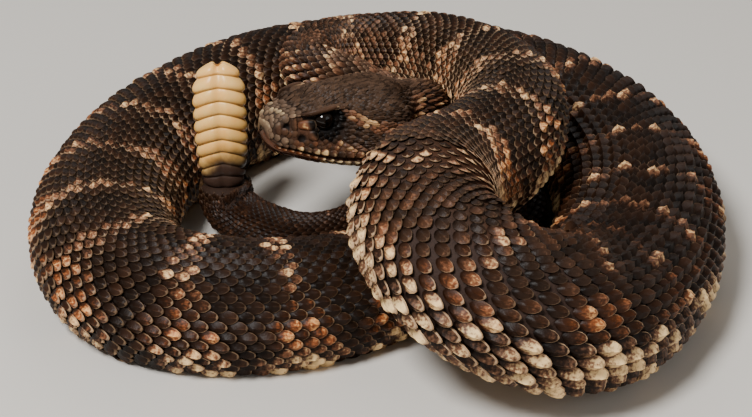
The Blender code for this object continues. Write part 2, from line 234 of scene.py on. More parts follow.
CHIN_COLUMNS = 4  # to each side of the middle
CHIN_REACH = (2, 35)  # degrees that they reach to each side, at the chin's tip and behind it
CHIN_TILT = 3
EYE_RING = 9  # small scales under the eye
EYE_RING_RADIUS = 3.25
SCUTE_LAP = 1.18
SCUTE_ROWS, SCUTE_COLUMNS = 5, 17
SCUTE_MARKS = {"pale": 0.8, "warm": 0.3, "rim": 0.2, "even": 0.4, "shade": 1.0}

# Eyes and rattle
EYE_RINGS, EYE_COLUMNS = 40, 64
PUPIL = (0.14, 0.66)  # half width and half height of the slit, as shares of the eye's radius
RATTLE_COLUMNS = 96
LOBE_STEPS = 14
HORN_GROOVE = 0.30
NOTCH = 1.6  # depth of the dip across the rattle's end, mm

# Colours of the hide, as sRGB
DARK_HIDE, UMBER_HIDE = "#170e08", "#321b0d"  # dark ground, where cold and where warm
GREY_HIDE, RUST_HIDE = "#675241", "#7d4322"  # half pale
CREAM_HIDE, BUFF_HIDE = "#dcc492", "#cf9c62"  # pale
STRETCHED_HIDE = "#33241d"
RIM_HIDE = "#c9a580"

CAMERA_LIFT = 30.0  # degrees over the horizon
CAMERA_DISTANCE = 520.0
CAMERA_TARGET = (-0.2, -15.9, 20)
IMAGE_WIDTH = 752
PIXELS_PER_MM = 4.1  # at the target
SENSOR = 36.0


def run_along(points):
    """Distance of each point from the first, along the line through them."""
    return np.concatenate([[0], np.cumsum(np.linalg.norm(np.diff(points, axis=0), axis=1))])


def solve_spline(at, values, start_slope, end_slope):
    """Second derivatives of the cubic through the points, with its slope given at both ends."""
    step = np.diff(at)
    rise = np.diff(values) / step
    n = len(at)
    matrix = np.zeros((n, n))
    right = np.zeros(n)
    matrix[0, :2] = 2 * step[0], step[0]
    right[0] = 6 * (rise[0] - start_slope)
    matrix[-1, -2:] = step[-1], 2 * step[-1]
    right[-1] = 6 * (end_slope - rise[-1])
    for i in range(1, n - 1):
        matrix[i, i - 1 : i + 2] = step[i - 1], 2 * (step[i - 1] + step[i]), step[i]
        right[i] = 6 * (rise[i] - rise[i - 1])
    return np.linalg.solve(matrix, right)


def spline(at, values, start_slope, end_slope, where):
    """Smooth curve through the points, for the body's turns."""
    bend = solve_spline(at, values, start_slope, end_slope)
    i = np.clip(np.searchsorted(at, where, side="right") - 1, 0, len(at) - 2)
    step = at[i + 1] - at[i]
    left, right = at[i + 1] - where, where - at[i]
    curve = (bend[i] * left**3 + bend[i + 1] * right**3) / (6 * step)
    line_left = (values[i] / step - bend[i] * step / 6) * left
    line_right = (values[i + 1] / step - bend[i + 1] * step / 6) * right
    return curve + line_left + line_right


def steady(at, values, where, start_slope=None, end_slope=None):
    """Curve through the points that never overshoots them, for heights and widths."""
    step = np.diff(at)
    rise = np.diff(values) / step
    slope = np.zeros(len(at))
    slope[0] = rise[0] if start_slope is None else start_slope
    slope[-1] = rise[-1] if end_slope is None else end_slope
    for i in range(1, len(at) - 1):
        if rise[i - 1] * rise[i] > 0:
            before = 2 * step[i] + step[i - 1]
            after = step[i] + 2 * step[i - 1]
            slope[i] = (before + after) / (before / rise[i - 1] + after / rise[i])
    i = np.clip(np.searchsorted(at, where, side="right") - 1, 0, len(at) - 2)
    t = (where - at[i]) / step[i]
    ends = (2 * t**3 - 3 * t**2 + 1) * values[i] + (3 * t**2 - 2 * t**3) * values[i + 1]
    tangents = (t**3 - 2 * t**2 + t) * slope[i] + (t**3 - t**2) * slope[i + 1]
    return ends + tangents * step[i]


class Body:
    """The swept tube: belly line, direction and size at any distance behind the head."""

    FINE = 4000

    def __init__(self):
        route = np.array(ROUTE, float)
        chord = run_along(route[:, :3])
        yaw, pitch, lift = (math.radians(a) for a in (HEAD_YAW, HEAD_PITCH, TAIL_PITCH))
        start = (math.cos(yaw), math.sin(yaw), -math.tan(pitch))
        last = route[-1, :2] - route[-2, :2]
        last = last / np.linalg.norm(last) * math.cos(lift)
        end = (last[0], last[1], math.sin(lift))
        fine = np.linspace(0, chord[-1], self.FINE)
        x = spline(chord, route[:, 0], start[0], end[0], fine)
        y = spline(chord, route[:, 1], start[1], end[1], fine)
        z = steady(chord, route[:, 2], fine, start[2], end[2])
        self.width = steady(chord, route[:, 3], fine)
        self.height = steady(chord, route[:, 4], fine)
        self.line = np.stack([x - MIDDLE[0], y - MIDDLE[1], z], axis=1)
        self.ease_turns()
        self.at = run_along(self.line)
        self.length = self.at[-1]
        self.ahead = np.gradient(self.line, self.at, axis=0)
        left = np.cross(self.ahead, (0, 0, 1))
        self.bend = (np.gradient(self.ahead, self.at, axis=0) * left).sum(axis=1)

    def ease_turns(self):
        """Evens the plan's turns out, most where the body is thick, so that no turn is too tight."""
        share = 0.5 * (self.width / self.width.max()) ** 2
        run = run_along(self.line)
        share *= np.clip(np.minimum(run, run[-1] - run) / EVEN_START - 0.2, 0, 1)
        share = share[1:-1, None]
        for _ in range(EVEN_ROUNDS):
            plan = self.line[:, :2]
            plan[1:-1] += share * (plan[:-2] + plan[2:] - 2 * plan[1:-1])

    def frame(self, distance):
        """Belly points, directions toward the tail, the left and the back; straight on past both ends."""
        inside = np.clip(distance, 0, self.length)
        point, ahead = (
            np.stack([np.interp(inside, self.at, values[:, k]) for k in range(3)], axis=-1)
            for values in (self.line, self.ahead)
        )
        ahead = unit(ahead)
        left = unit(np.cross(ahead, (0, 0, 1)))
        point = point + ahead * (distance - inside)[..., None]
        return point, ahead, left, np.cross(left, ahead)

    def size(self, distance):
        """Width, height and how sharply the line turns to the left."""
        return tuple(np.interp(distance, self.at, row) for row in (self.width, self.height, self.bend))


def unit(vectors):
    return vectors / np.maximum(np.linalg.norm(vectors, axis=-1, keepdims=True), 1e-9)


def mix(a, b, share):
    return a + (b - a) * share


def smooth_step(low, high, value):
    t = np.clip((value - low) / (high - low), 0, 1)
    return t * t * (3 - 2 * t)


def body_section(width, height, bend, angles):
    """Offsets to the left and up from the belly, at angles from the spine round by the left."""
    inner = np.minimum(width / 2, INNER_SHARE / np.maximum(np.abs(bend), 1e-6))
    across = np.sin(angles)
    across = across * np.where(across * bend > 0, inner, width / 2)
    up = np.cos(angles) * (1 - BELLY_SHARE)
    return across, (np.maximum(up, -BELLY_SHARE) + BELLY_SHARE) * height


def head_half(brow, lip, jaw, crown, edge, mouth, throat, cut, ridge):
    """One half of the head's outline, from the middle of the crown to the middle of the throat."""
    side = edge - mouth
    return (
        (0 * brow, crown),
        (0.34 * brow, crown),
        (0.66 * brow, mix(crown, edge, 0.35)),
        (0.88 * brow, mix(crown, edge, mix(0.7, 0.85, ridge))),
        (brow, edge),
        (mix(mix(brow, lip, 0.3), 0.94 * brow, ridge), edge - 0.13 * side),
        (mix(mix(brow, lip, 0.65), mix(brow, lip, 0.1), ridge), edge - 0.36 * side),
        (mix(brow, lip, mix(0.95, 0.75, ridge)), edge - 0.62 * side),
        (lip, mouth + 0.16 * side),
        (0.985 * lip, mouth + LIP_EDGE),
        (0.97 * lip - cut, mouth),
        (0.965 * lip, mouth - LIP_EDGE),
        (jaw, mix(mouth, throat, 0.4)),
        (0.86 * jaw, mix(mouth, throat, 0.76)),
        (0.52 * jaw, mix(mouth, throat, 0.96)),
        (0 * brow, throat),
    )


def head_section(body, behind, angles):
    """Offsets to the left and up of the head's surface, behind the snout, at angles from the spine."""
    stations = np.array(HEAD_STATIONS, float)
    sizes = [steady(stations[:, 0], stations[:, k], behind) for k in range(1, 8)]
    cut = MOUTH_DEPTH * (1 - smooth_step(*MOUTH_CORNER, behind))
    ridge = smooth_step(*SNOUT_RIDGE, behind) * (1 - smooth_step(*BROW_RIDGE, behind))
    half = np.array(head_half(*sizes, cut, ridge))
    corners = np.linspace(0, math.pi, HALF_POINTS)[:, None]
    neck = np.array(body_section(*body.size(0), corners)).transpose(1, 0, 2)
    half = mix(half, neck, smooth_step(*NECK_BLEND, behind))
    closing = np.minimum(behind / SNOUT_ROUND, 1)
    closing = np.sqrt(1 - (1 - closing) ** 2)
    half[:, 0] *= closing
    half[:, 1] = mix(SNOUT_LEVEL, half[:, 1], closing**0.8)
    whole = np.concatenate([half[1:2] * MIRROR, half, half[-2:-4:-1] * MIRROR])
    turn = (angles + math.pi) % (2 * math.pi) - math.pi
    place = np.abs(turn) / math.pi * (HALF_POINTS - 1)
    first = np.minimum(place.astype(int), HALF_POINTS - 2)
    out, up = through_points(whole, first, place - first)
    return rolled(out * np.where(turn < 0, -1, 1), up, behind)


def through_points(points, first, share):
    """Smooth curve between the second and third of four neighbouring points."""
    at = np.arange(points.shape[2])
    a, b, c, d = (points[first + k, :, at].T for k in range(4))
    return b + share / 2 * (c - a + share * (2 * a - 5 * b + 4 * c - d + share * (3 * (b - c) + d - a)))


def rolled(out, up, behind):
    """The outline turned about the head's long axis, less and less toward the neck."""
    roll = math.radians(HEAD_ROLL) * (1 - smooth_step(*NECK_BLEND, behind))
    up = up - ROLL_CENTRE
    return out * np.cos(roll) - up * np.sin(roll), out * np.sin(roll) + up * np.cos(roll) + ROLL_CENTRE


def surface(body, distance, angles):
    """Points of the animal's surface, in mm; the distance is below 0 on the head."""
    distance, angles = np.broadcast_arrays(np.asarray(distance, float), angles)
    flat, turn = distance.ravel(), angles.ravel()
    across, up = body_section(*body.size(flat), turn)
    on_head = flat < 0
    if on_head.any():
        behind = np.maximum(flat[on_head] + HEAD_LENGTH, 0)
        across[on_head], up[on_head] = head_section(body, behind, turn[on_head])
    point, _, left, back = body.frame(flat)
    return (point + across[:, None] * left + up[:, None] * back).reshape(distance.shape + (3,))


def surface_frame(body, distance, angles):
    """Points of the surface with its outward, tailward and sideward directions."""
    near, wide = 0.05, 0.01
    toward_tail = surface(body, distance + near, angles) - surface(body, distance - near, angles)
    sideward = surface(body, distance, angles + wide) - surface(body, distance, angles - wide)
    outward = unit(np.cross(sideward, toward_tail))
    along = unit(toward_tail)
    return surface(body, distance, angles), outward, along, np.cross(along, outward)


def linear(hex_colour):
    """Linear colour with alpha from an sRGB hex value."""
    parts = [int(hex_colour[k : k + 2], 16) / 255 for k in (1, 3, 5)]
    return tuple(c / 12.92 if c <= 0.04045 else ((c + 0.055) / 1.055) ** 2.4 for c in parts) + (1,)


def add(tree, kind, inputs=None, **settings):
    """Adds a node with its settings; an input is set to a value or linked to a socket or node."""
    made = tree.nodes.new(kind)
    for name, value in settings.items():
        setattr(made, name, value)
    for name, value in (inputs or {}).items():
        if isinstance(value, bpy.types.Node):
            value = next(output for output in value.outputs if output.enabled)
        if isinstance(value, bpy.types.NodeSocket):
            tree.links.new(value, made.inputs[name])
        else:
            made.inputs[name].default_value = value
    return made


def grid_faces(rows, columns, wrap=False):
    """Faces between neighbouring points of a grid, by the points' numbers."""
    r = np.arange(rows - 1)[:, None] * columns
    c = np.arange(columns if wrap else columns - 1)[None, :]
    after = (c + 1) % columns
    return np.stack([r + c, r + after, r + columns + after, r + columns + c], axis=-1).reshape(-1, 4)


def sheet_rim(rows, columns):
    """Numbers of a grid's points round its edge."""
    top = np.arange(columns)
    right = np.arange(1, rows) * columns + columns - 1
    bottom = (rows - 1) * columns + np.arange(columns - 2, -1, -1)
    left = np.arange(rows - 2, 0, -1) * columns
    return np.concatenate([top, right, bottom, left])


def closed_sheet(upper, lower):
    """Points and faces of a thin closed plate: a grid, its rim lowered, and a fan underneath."""
    rows, columns = upper.shape[:2]
    rim = sheet_rim(rows, columns)
    low_rim = lower.reshape(-1, 3)[rim]
    points = np.concatenate([upper.reshape(-1, 3), low_rim, low_rim.mean(axis=0)[None]])
    low = rows * columns + np.arange(len(rim))
    after, low_after = np.roll(rim, -1), np.roll(low, -1)
    faces = grid_faces(rows, columns).tolist()
    faces += np.stack([after, rim, low, low_after], axis=-1).tolist()
    middle = np.full(len(rim), len(points) - 1)
    return points, faces + np.stack([low_after, low, middle], axis=-1).tolist()


def sheet_values(values):
    """Values for a closed sheet's points: its grid's, its rim's again, and their mean underneath."""
    rim = sheet_rim(*values.shape)
    return np.concatenate([values.ravel(), values.ravel()[rim], (values.mean(),)])


def closed_tube(points, ends=None):
    """Points and faces of a tube from its rings, with a fan over each end."""
    rings, columns = points.shape[:2]
    total, far = rings * columns, (rings - 1) * columns
    near = np.arange(columns)
    after = np.roll(near, -1)
    first = np.stack([near, np.full_like(near, total), after], axis=-1)
    last = np.stack([far + near, far + after, np.full_like(near, total + 1)], axis=-1)
    if ends is None:
        ends = np.stack([points[0].mean(axis=0), points[-1].mean(axis=0)])
    faces = grid_faces(rings, columns, wrap=True).tolist() + first.tolist() + last.tolist()
    return np.concatenate([points.reshape(-1, 3), ends]), faces


def tube_values(values, start, end):
    """Values for a closed tube's points: its rings', then those of its two ends."""
    return np.concatenate([values.ravel(), (start, end)])


def mesh_object(name, points, faces, marks=None, sharp=45):
    """An object from points in mm, with values for each point that the material reads."""
    mesh = bpy.data.meshes.new(name)
    points = np.array(points)
    points[:, 2] = np.maximum(points[:, 2], 0)
    mesh.from_pydata(points * MM, [], faces)
    mesh.shade_smooth()
    if sharp:
        mesh.set_sharp_from_angle(angle=math.radians(sharp))
    for key, values in (marks or {}).items():
        put(mesh, key, values)
    made = bpy.data.objects.new(name, mesh)
    bpy.context.collection.objects.link(made)
    return made


def put(mesh, key, values):
    """Keeps one number or vector for each point of a mesh."""
    values = np.asarray(values, np.float32)
    kind, field = ("FLOAT", "value") if values.ndim == 1 else ("FLOAT_VECTOR", "vector")
    mesh.attributes.new(key, kind, "POINT").data.foreach_set(field, values.ravel())


def take(mesh, key, width=1):
    values = np.zeros(len(mesh.vertices) * width, np.float32)
    mesh.attributes[key].data.foreach_get("value" if width == 1 else "vector", values)
    return values if width == 1 else values.reshape(-1, width)


def strip_place(body, distance):
    """Strip of the unwrap and the place along it, both from the distance along the animal."""
    head = HEAD_LENGTH * HEAD_STRETCH
    run = np.where(distance < 0, (distance + HEAD_LENGTH) * HEAD_STRETCH, head + distance)
    run = np.clip(run / (head + body.length) * STRIPS, 0, STRIPS - 1e-4)
    return run


def unwrap(run, angle, strip=None):
    """UV place on the skin's own unwrap: along in U and round the animal in V, in stacked strips."""
    strip = np.floor(run) if strip is None else strip
    share = (np.asarray(angle) + math.pi) / (2 * math.pi)
    return np.stack([0.01 + 0.98 * (run - strip), (strip + 0.02 + 0.96 * share) / STRIPS], axis=-1)


def set_uv(mesh, corner_uv):
    layer = mesh.uv_layers.new(name="OFBake")
    layer.data.foreach_set("uv", np.asarray(corner_uv, np.float32).ravel())


def corner_points(mesh):
    """Number of the point at each corner of the mesh's faces."""
    numbers = np.zeros(len(mesh.loops), np.int32)
    mesh.loops.foreach_get("vertex_index", numbers)
    return numbers


def bump_at(value, centre, width):
    return np.exp(-(((value - centre) / width) ** 2))


def near_line(behind, degrees, line, width):
    """1 on a line over the head, falling to 0 at the width; its points are mm and degrees."""
    at = np.stack([behind, degrees * MM_PER_DEGREE], axis=-1)
    best = np.full(np.shape(behind), 1e9)
    for (b0, a0), (b1, a1) in zip(line, line[1:]):
        start, way = np.array((b0, a0 * MM_PER_DEGREE)), np.array((b1 - b0, (a1 - a0) * MM_PER_DEGREE))
        share = np.clip(((at - start) @ way) / (way @ way), 0, 1)
        best = np.minimum(best, np.linalg.norm(at - start - share[..., None] * way, axis=-1))
    return 1 - smooth_step(0.55 * width, width, best)


def head_distance(behind, degrees, centre_behind, centre_degrees):
    """Distance over the head's side from a place, in mm."""
    return np.hypot(behind - centre_behind, (degrees - centre_degrees) * MM_PER_DEGREE)


def brow_slope(behind, degrees):
    """Degrees from the crown, leaned so that the sloping brow shield lies level."""
    return degrees + 0.8 * (behind - 12)


def tint(marks, share, **goals):
    """Moves marks toward their goals, by a share from 0 to 1."""
    for key, goal in goals.items():
        marks[key] = mix(marks[key], goal, share)


def head_marks(distance, angle, chance):
    """How pale, warm, rimmed and evenly coloured the head is, and how little painted shade darkens it, each
    from 0 to 1.
    """
    behind, degrees = distance + HEAD_LENGTH, np.abs(np.degrees(angle))
    jitter = chance - 0.5
    even, warm = np.full(behind.shape, 0.85), np.full(behind.shape, 0.12)
    marks = {"pale": 0.16 + 0.14 * jitter, "warm": warm, "even": even}
    snout = (1 - smooth_step(4.5, 9.5, behind + 2 * jitter)) * (1 - smooth_step(84, 100, degrees))
    tint(marks, snout, pale=0.58 + 0.25 * jitter, warm=0.02)
    side = smooth_step(50, 58, degrees) * rise_and_fall(behind, (3, 6, 15, 17))
    tint(marks, side, pale=0.52 + 0.4 * jitter, warm=0.45 + 0.9 * jitter, even=0.5)
    nostril = 1 - smooth_step(1.5, 2.4, head_distance(behind, degrees, *NOSTRIL_SPOT))
    tint(marks, nostril, pale=0.22, warm=0.35)
    before_eye = 1 - smooth_step(1.6, 2.4, head_distance(behind, degrees, *BEFORE_EYE_SPOT))
    tint(marks, before_eye, pale=0.72, warm=0.85)
    cheek = smooth_step(56, 62, degrees) * smooth_step(13, 15, behind)
    tint(marks, cheek, pale=0.1 + 0.1 * jitter, warm=0.15)
    lips = smooth_step(92, 98, degrees)
    tint(marks, lips, pale=0.8 + 0.5 * jitter, warm=0.3 + 0.6 * jitter, even=0.4)
    stripe = near_line(behind, degrees, CHEEK_STRIPE, 2.2)
    tint(marks, stripe, pale=0.68 + 0.5 * jitter, warm=0.5 + 0.6 * jitter)
    tint(marks, near_line(behind, degrees, EYE_LINE, 1.4), pale=0.56 + 0.5 * jitter, warm=0.55)
    chin = smooth_step(126, 134, degrees)
    tint(marks, chin, pale=0.48 + 0.2 * jitter, warm=0.95)
    tint(marks, chin * smooth_step(10.5, 13, behind + 2 * jitter), pale=0.92 + 0.2 * jitter, warm=0.15)
    nape = smooth_step(36.5, 40, behind) * rise_and_fall(degrees, (28, 40, 66, 78))
    tint(marks, nape, pale=0.5 + 0.6 * jitter, warm=0.5)
    # Painted shade of the overhanging brow: darker, colder hide round the eye and in a wedge in front of it
    around = 1 - smooth_step(3.7, 4.7, head_distance(behind, degrees, *EYE_SPOT))
    dark = np.maximum(around, near_line(behind, degrees, EYE_SHADE, 1.5))
    tint(marks, dark, pale=0.0, warm=0.1)
    slope = brow_slope(behind, degrees)
    brow = rise_and_fall(behind, (7, 8, 17, 18)) * rise_and_fall(slope, (40, 42, 55, 58))
    tint(marks, brow, pale=0.2, warm=0.25)
    tint(marks, np.maximum(dark, brow), even=0.9)
    # The shade value is painted shade round the eye, none on the brow shield
    return marks | {"rim": 0.12 + 0.3 * lips + 0.55 * brow, "shade": 1 - 0.75 * dark * (1 - brow)}


def body_marks(distance, angle, chance):
    """The same for the body: dark blotches parted by thin bands, a warmer flank and a pale low edge."""
    flank = np.clip(np.abs(np.degrees(angle)) / VENTRAL_EDGE, 0, 1.2)
    jitter = chance - 0.5
    wander = np.sin(0.37 * distance + 2.6 * angle) + np.sin(0.83 * distance - 4.3 * angle)
    shift = distance - BAND_START - BAND_SLANT * flank**2 + 0.9 * jitter + 0.5 * wander
    off = np.abs((shift + BAND_PITCH / 2) % BAND_PITCH - BAND_PITCH / 2)
    half = mix(*BAND_HALF, smooth_step(0.15, 0.6, flank)) * (1 + 0.2 * wander)
    band = 1 - smooth_step(0.7 * half, 1.15 * half, off)
    low_side = smooth_step(0.22, 0.5, flank)
    loop = rise_and_fall(distance, FRONT_LOOP)
    brown = rise_and_fall(distance, BROWN_LOOP)
    neck = 1 - smooth_step(60, 150, distance)
    marks = {
        "pale": 0.08 + 0.12 * chance + 0.42 * neck + 0.32 * brown + (0.02 + 0.08 * loop) * low_side,
        "warm": 0.2 + 0.08 * neck + 0.1 * brown + (0.1 + 0.2 * loop) * low_side + 0.3 * jitter,
    }
    banded = 0.6 + 0.45 * np.maximum(jitter, -0.4)
    tint(marks, band, pale=banded, warm=mix(0.5, 1.0, low_side) * (1 - 0.4 * neck))
    fleck = smooth_step(0.82, 0.92, chance) * smooth_step(0.35, 0.5, flank)
    tint(marks, fleck * (0.3 + 0.5 * loop + 0.3 * neck), pale=0.75)
    lit = rise_and_fall(distance, LOOP_EDGE) * smooth_step(0.36, 0.5, flank)
    tint(marks, lit, pale=np.maximum(marks["pale"], 0.68 + 0.5 * jitter), warm=0.5)
    edge = smooth_step(0.62, 0.8, flank) * mix(0.3, 1, band)
    edge = np.maximum(smooth_step(0.44, 0.6, flank) * loop, edge)
    tint(marks, edge, pale=0.76 + 0.4 * jitter, warm=0.35)
    rim = 0.1 + (0.1 + 0.2 * loop) * low_side + 0.35 * band + 0.15 * neck + 0.5 * np.maximum(lit, edge)
    marks |= {"rim": rim, "even": 0.6 * (1 - smooth_step(5, 70, distance)) + 0.12 * brown * (1 - edge)}
    tail = smooth_step(*TAIL_DARKENS, distance)
    tint(marks, tail, pale=0.1 + 0.4 * smooth_step(0.8, 0.9, chance), warm=0.35, rim=0.05)
    return marks | {"shade": np.ones(distance.shape)}


def markings(distance, angle, chance):
    """Marks of both, passing from the head's to the body's behind the jaw."""
    on_head = head_marks(np.minimum(distance, 0), angle, chance)
    on_body = body_marks(distance, angle, chance)
    share = smooth_step(-3, 3, distance)
    return {key: mix(np.clip(on_head[key], 0, 1), np.clip(on_body[key], 0, 1), share) for key in MARKS}


def stretch(body, distance, angle):
    """How far the outer or inner side of a turn stretches or gathers the hide, 1 where straight."""
    width, height, bend = body.size(distance)
    across, _ = body_section(width, height, bend, angle)
    return np.where(distance < 0, 1.0, 1 - bend * across)


def coat_depth(body, distance):
    """How far inside the solids the skin lies, which is how high the scales stand on it."""
    on_body = BODY_COAT_DEPTH * (body.size(distance)[0] / WIDEST) ** 0.8
    return mix(COAT_DEPTH, on_body, smooth_step(*HEAD_TO_BODY, distance))


def sockets(body):
    """Centre and radius of each round hollow of the head, with its place on the head."""
    hollows = []
    for side in (1, -1):
        for radius, (behind, out, up) in (
            (EYE_RADIUS + 0.12, EYE_PLACE),
            (PIT_RADIUS + 0.25, PIT_PLACE),
            (NOSTRIL_RADIUS + 0.2, NOSTRIL_PLACE),
        ):
            hollows.append((head_point(body, behind, side * out, up), radius))
    return hollows


def head_point(body, behind, out, up):
    """A place on or in the head, from behind the snout, out from the middle and up."""
    point, ahead, left, back = body.frame(0.0)
    out, up = rolled(np.array(out, float), np.array(up, float), behind)
    return point + (behind - HEAD_LENGTH) * ahead + out * left + up * back


def sunk(points, outward, centre, radius):
    """Points inside a ball moved inward to its far side, which leaves a round hollow."""
    off = points - centre
    along = (off * outward).sum(axis=-1)
    square = radius**2 - (off**2).sum(axis=-1)
    depth = along + np.sqrt(np.maximum(along**2 + square, 0))
    return points - outward * np.where(square > 0, depth, 0)[..., None]


def skin(body, finish):
    """The hide under the scales, one closed sheet from snout to rattle."""
    turn = np.linspace(0.05, math.pi / 2, 14)
    snout = SNOUT_ROUND * (1 - np.cos(turn))
    head_rows = np.arange(SNOUT_ROUND + HEAD_ROW_STEP, HEAD_LENGTH, HEAD_ROW_STEP)
    count = round(body.length / BODY_ROW_STEP)
    on_tube = np.linspace(0, body.length, count)
    rows = np.concatenate([snout - HEAD_LENGTH, head_rows - HEAD_LENGTH, on_tube])
    columns = np.arange(SKIN_COLUMNS) * 2 * math.pi / SKIN_COLUMNS - math.pi
    distance, angle = np.meshgrid(rows, columns, indexing="ij")
    place, outward, _, _ = surface_frame(body, distance, angle)
    points = place - coat_depth(body, distance)[..., None] * outward
    on_head = rows < 0
    # Mask for the painted shade inside each socket
    hollow = np.zeros(distance.shape)
    for centre, radius in sockets(body):
        depth = 1 - smooth_step(radius - 0.25, radius + 0.1, np.linalg.norm(points - centre, axis=-1))
        hollow = np.maximum(hollow, depth)
        points[on_head] = sunk(points[on_head], outward[on_head], centre, radius)
    flat, faces = closed_tube(points)
    all_distance = tube_values(distance, rows[0], rows[-1])
    all_angle = tube_values(angle, 0, 0)
    marks = markings(all_distance, all_angle, np.full(len(all_distance), 0.5))
    marks["stretch"] = stretch(body, all_distance, all_angle)
    # Painted shade: the shade value falls inside the sockets of the eyes, pits and nostrils
    marks["shade"] = marks["shade"] * (1 - 0.88 * tube_values(hollow, 0, 0))
    made = mesh_object("skin", flat, faces, marks, sharp=None)
    made.data.materials.append(finish)
    set_uv(made.data, skin_uv(body, made.data, all_distance, all_angle))
    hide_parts("head", "neck", *(f"torso_{n}" for n in range(1, 15)), "tail")
    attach(made, "root")
    return made


def skin_uv(body, mesh, distance, angle):
    """Each face lies in the strip of its first corner and doesn't cross the back of the unwrap."""
    corners = corner_points(mesh)
    starts = np.zeros(len(mesh.polygons), np.int32)
    counts = np.zeros(len(mesh.polygons), np.int32)
    mesh.polygons.foreach_get("loop_start", starts)
    mesh.polygons.foreach_get("loop_total", counts)
    first = np.repeat(corners[starts], counts)
    run = strip_place(body, distance)
    strip = np.floor(np.minimum(run[first], run[corners] + 1))
    turned = angle[corners]
    turned = np.where(turned - angle[first] < -math.pi, turned + 2 * math.pi, turned)
    return unwrap(np.minimum(run[corners], strip + 1), turned, strip)


def scale_shape(name, steps, tip, dome, keel, thickness):
    """One scale of unit length and width: X across, Y toward its free tip, Z off the hide."""
    y = (1 - np.cos(np.linspace(0, math.pi, steps[0] + 1))) / 2
    base = 1 - (np.maximum(WIDEST_AT - y, 0) / WIDEST_AT) ** 2.4
    free = 1 - (np.maximum(y - WIDEST_AT, 0) / (1 - WIDEST_AT)) ** tip
    half = 0.5 * np.maximum(np.minimum(base, free), 0.02) ** 0.62
    grid_y, grid_u = np.meshgrid(y, np.linspace(-1, 1, steps[1] + 1), indexing="ij")
    x = half[:, None] * grid_u
    rounded = dome * (1 - grid_u**2) * np.sin(math.pi * np.clip(grid_y, 0, 1)) ** 0.6
    ridge = keel * bump_at(grid_u, 0, 0.17) * rise_and_fall(grid_y, (0.08, 0.3, 0.9, 1))
    upper = np.stack([x, grid_y, thickness + rounded + ridge], axis=-1)
    lower = np.stack([x * 0.97, grid_y, np.zeros_like(x)], axis=-1)
    points, faces = closed_sheet(upper, lower)
    marks = {"along": sheet_values(grid_y), "across": sheet_values(grid_u)}
    made = mesh_object(name, points / MM, faces, marks)
    bpy.context.collection.objects.unlink(made)
    return made


def laying_tree():
    """Sets a scale on each root, turned and sized by the root's own values, and makes them real."""
    tree = bpy.data.node_groups.new("lay_scales_on_roots", "GeometryNodeTree")
    sockets_in = (("Roots", "Geometry"), ("Scale", "Object"), ("Growth", "Float"), ("Finish", "Material"))
    for label, kind in sockets_in:
        tree.interface.new_socket(label, in_out="INPUT", socket_type="NodeSocket" + kind)
    tree.interface.new_socket("Coat", in_out="OUTPUT", socket_type="NodeSocketGeometry")
    given = add(tree, "NodeGroupInput").outputs
    shape = add(tree, "GeometryNodeObjectInfo", {"Object": given["Scale"]})
    turn = add(tree, "GeometryNodeInputNamedAttribute", {"Name": "turn"}, data_type="FLOAT_VECTOR")
    size = add(tree, "GeometryNodeInputNamedAttribute", {"Name": "size"}, data_type="FLOAT_VECTOR")
    grown = add(tree, "ShaderNodeVectorMath", {
        0: size.outputs[0], "Scale": given["Growth"],
    }, operation="SCALE")
    laid = add(tree, "GeometryNodeInstanceOnPoints", {
        "Points": given["Roots"], "Instance": shape.outputs["Geometry"],
        "Rotation": turn.outputs[0], "Scale": grown.outputs[0],
    })
    real = add(tree, "GeometryNodeRealizeInstances", {"Geometry": laid.outputs[0]})
    done = add(tree, "GeometryNodeSetMaterial", {"Geometry": real.outputs[0], "Material": given["Finish"]})
    add(tree, "NodeGroupOutput", {"Coat": done.outputs[0]})
    return tree


def euler_of(across, along, outward):
    """XYZ angles of frames given by their three directions."""
    return np.stack([
        np.arctan2(along[:, 2], outward[:, 2]),
        np.arcsin(np.clip(-across[:, 2], -1, 1)),
        np.arctan2(across[:, 1], across[:, 0]),
    ], axis=-1)


def lay(name, body, tree, shape, finish, roots):
    """Lays scales on the hide. Roots give distance, angle, width, length, tilt and chance."""
    distance, angle, width, length, tilt, chance = (np.asarray(row, float) for row in roots)
    place, outward, along, across = surface_frame(body, distance, angle)
    low, high = np.cos(tilt)[:, None], np.sin(tilt)[:, None]
    lying, standing = along * low + outward * high, outward * low - along * high
    seat = place - coat_depth(body, distance)[:, None] * outward
    marks = markings(distance, angle, chance)
    marks["chance"] = chance
    marks["turn"] = euler_of(across, lying, standing)
    marks["size"] = np.stack([width, length, length], axis=-1) * MM
    spots = unwrap(strip_place(body, distance), angle)
    marks["patch"] = np.concatenate([spots, np.zeros((len(spots), 1))], axis=-1)
    holder = mesh_object(name, seat, [], marks, sharp=None)
    laid = holder.modifiers.new("lay", "NODES")
    laid.node_group = tree
    sockets_by_name = {item.name: item.identifier for item in tree.interface.items_tree}
    laid[sockets_by_name["Scale"]] = shape
    laid[sockets_by_name["Growth"]] = 1.0
    laid[sockets_by_name["Finish"]] = finish
    graph = bpy.context.evaluated_depsgraph_get()
    mesh = bpy.data.meshes.new_from_object(holder.evaluated_get(graph))
    holder.modifiers.clear()
    holder.data = mesh
    mesh.name = name
    flat = np.zeros(len(mesh.vertices) * 3, np.float32)
    mesh.vertices.foreach_get("co", flat)
    flat[2::3] = np.maximum(flat[2::3], 0)
    mesh.vertices.foreach_set("co", flat)
    corners = corner_points(mesh)
    local = np.stack([take(mesh, "across") / 2, take(mesh, "along") - 0.5], axis=-1)
    set_uv(mesh, (take(mesh, "patch", 3)[:, :2] + local * SCALE_PATCH)[corners])
    for spare in ("turn", "size", "patch"):
        mesh.attributes.remove(mesh.attributes[spare])
    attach(holder, "root")
    return holder


def rise_and_fall(distance, stops):
    """From 0 to 1 over the first two distances and back to 0 over the last two."""
    return smooth_step(*stops[:2], distance) * (1 - smooth_step(*stops[2:], distance))


def rear_share(distance):
    """How much of their size the scales keep toward the rear."""
    return mix(1, REAR_SHARE, smooth_step(*REAR_FINER, distance))


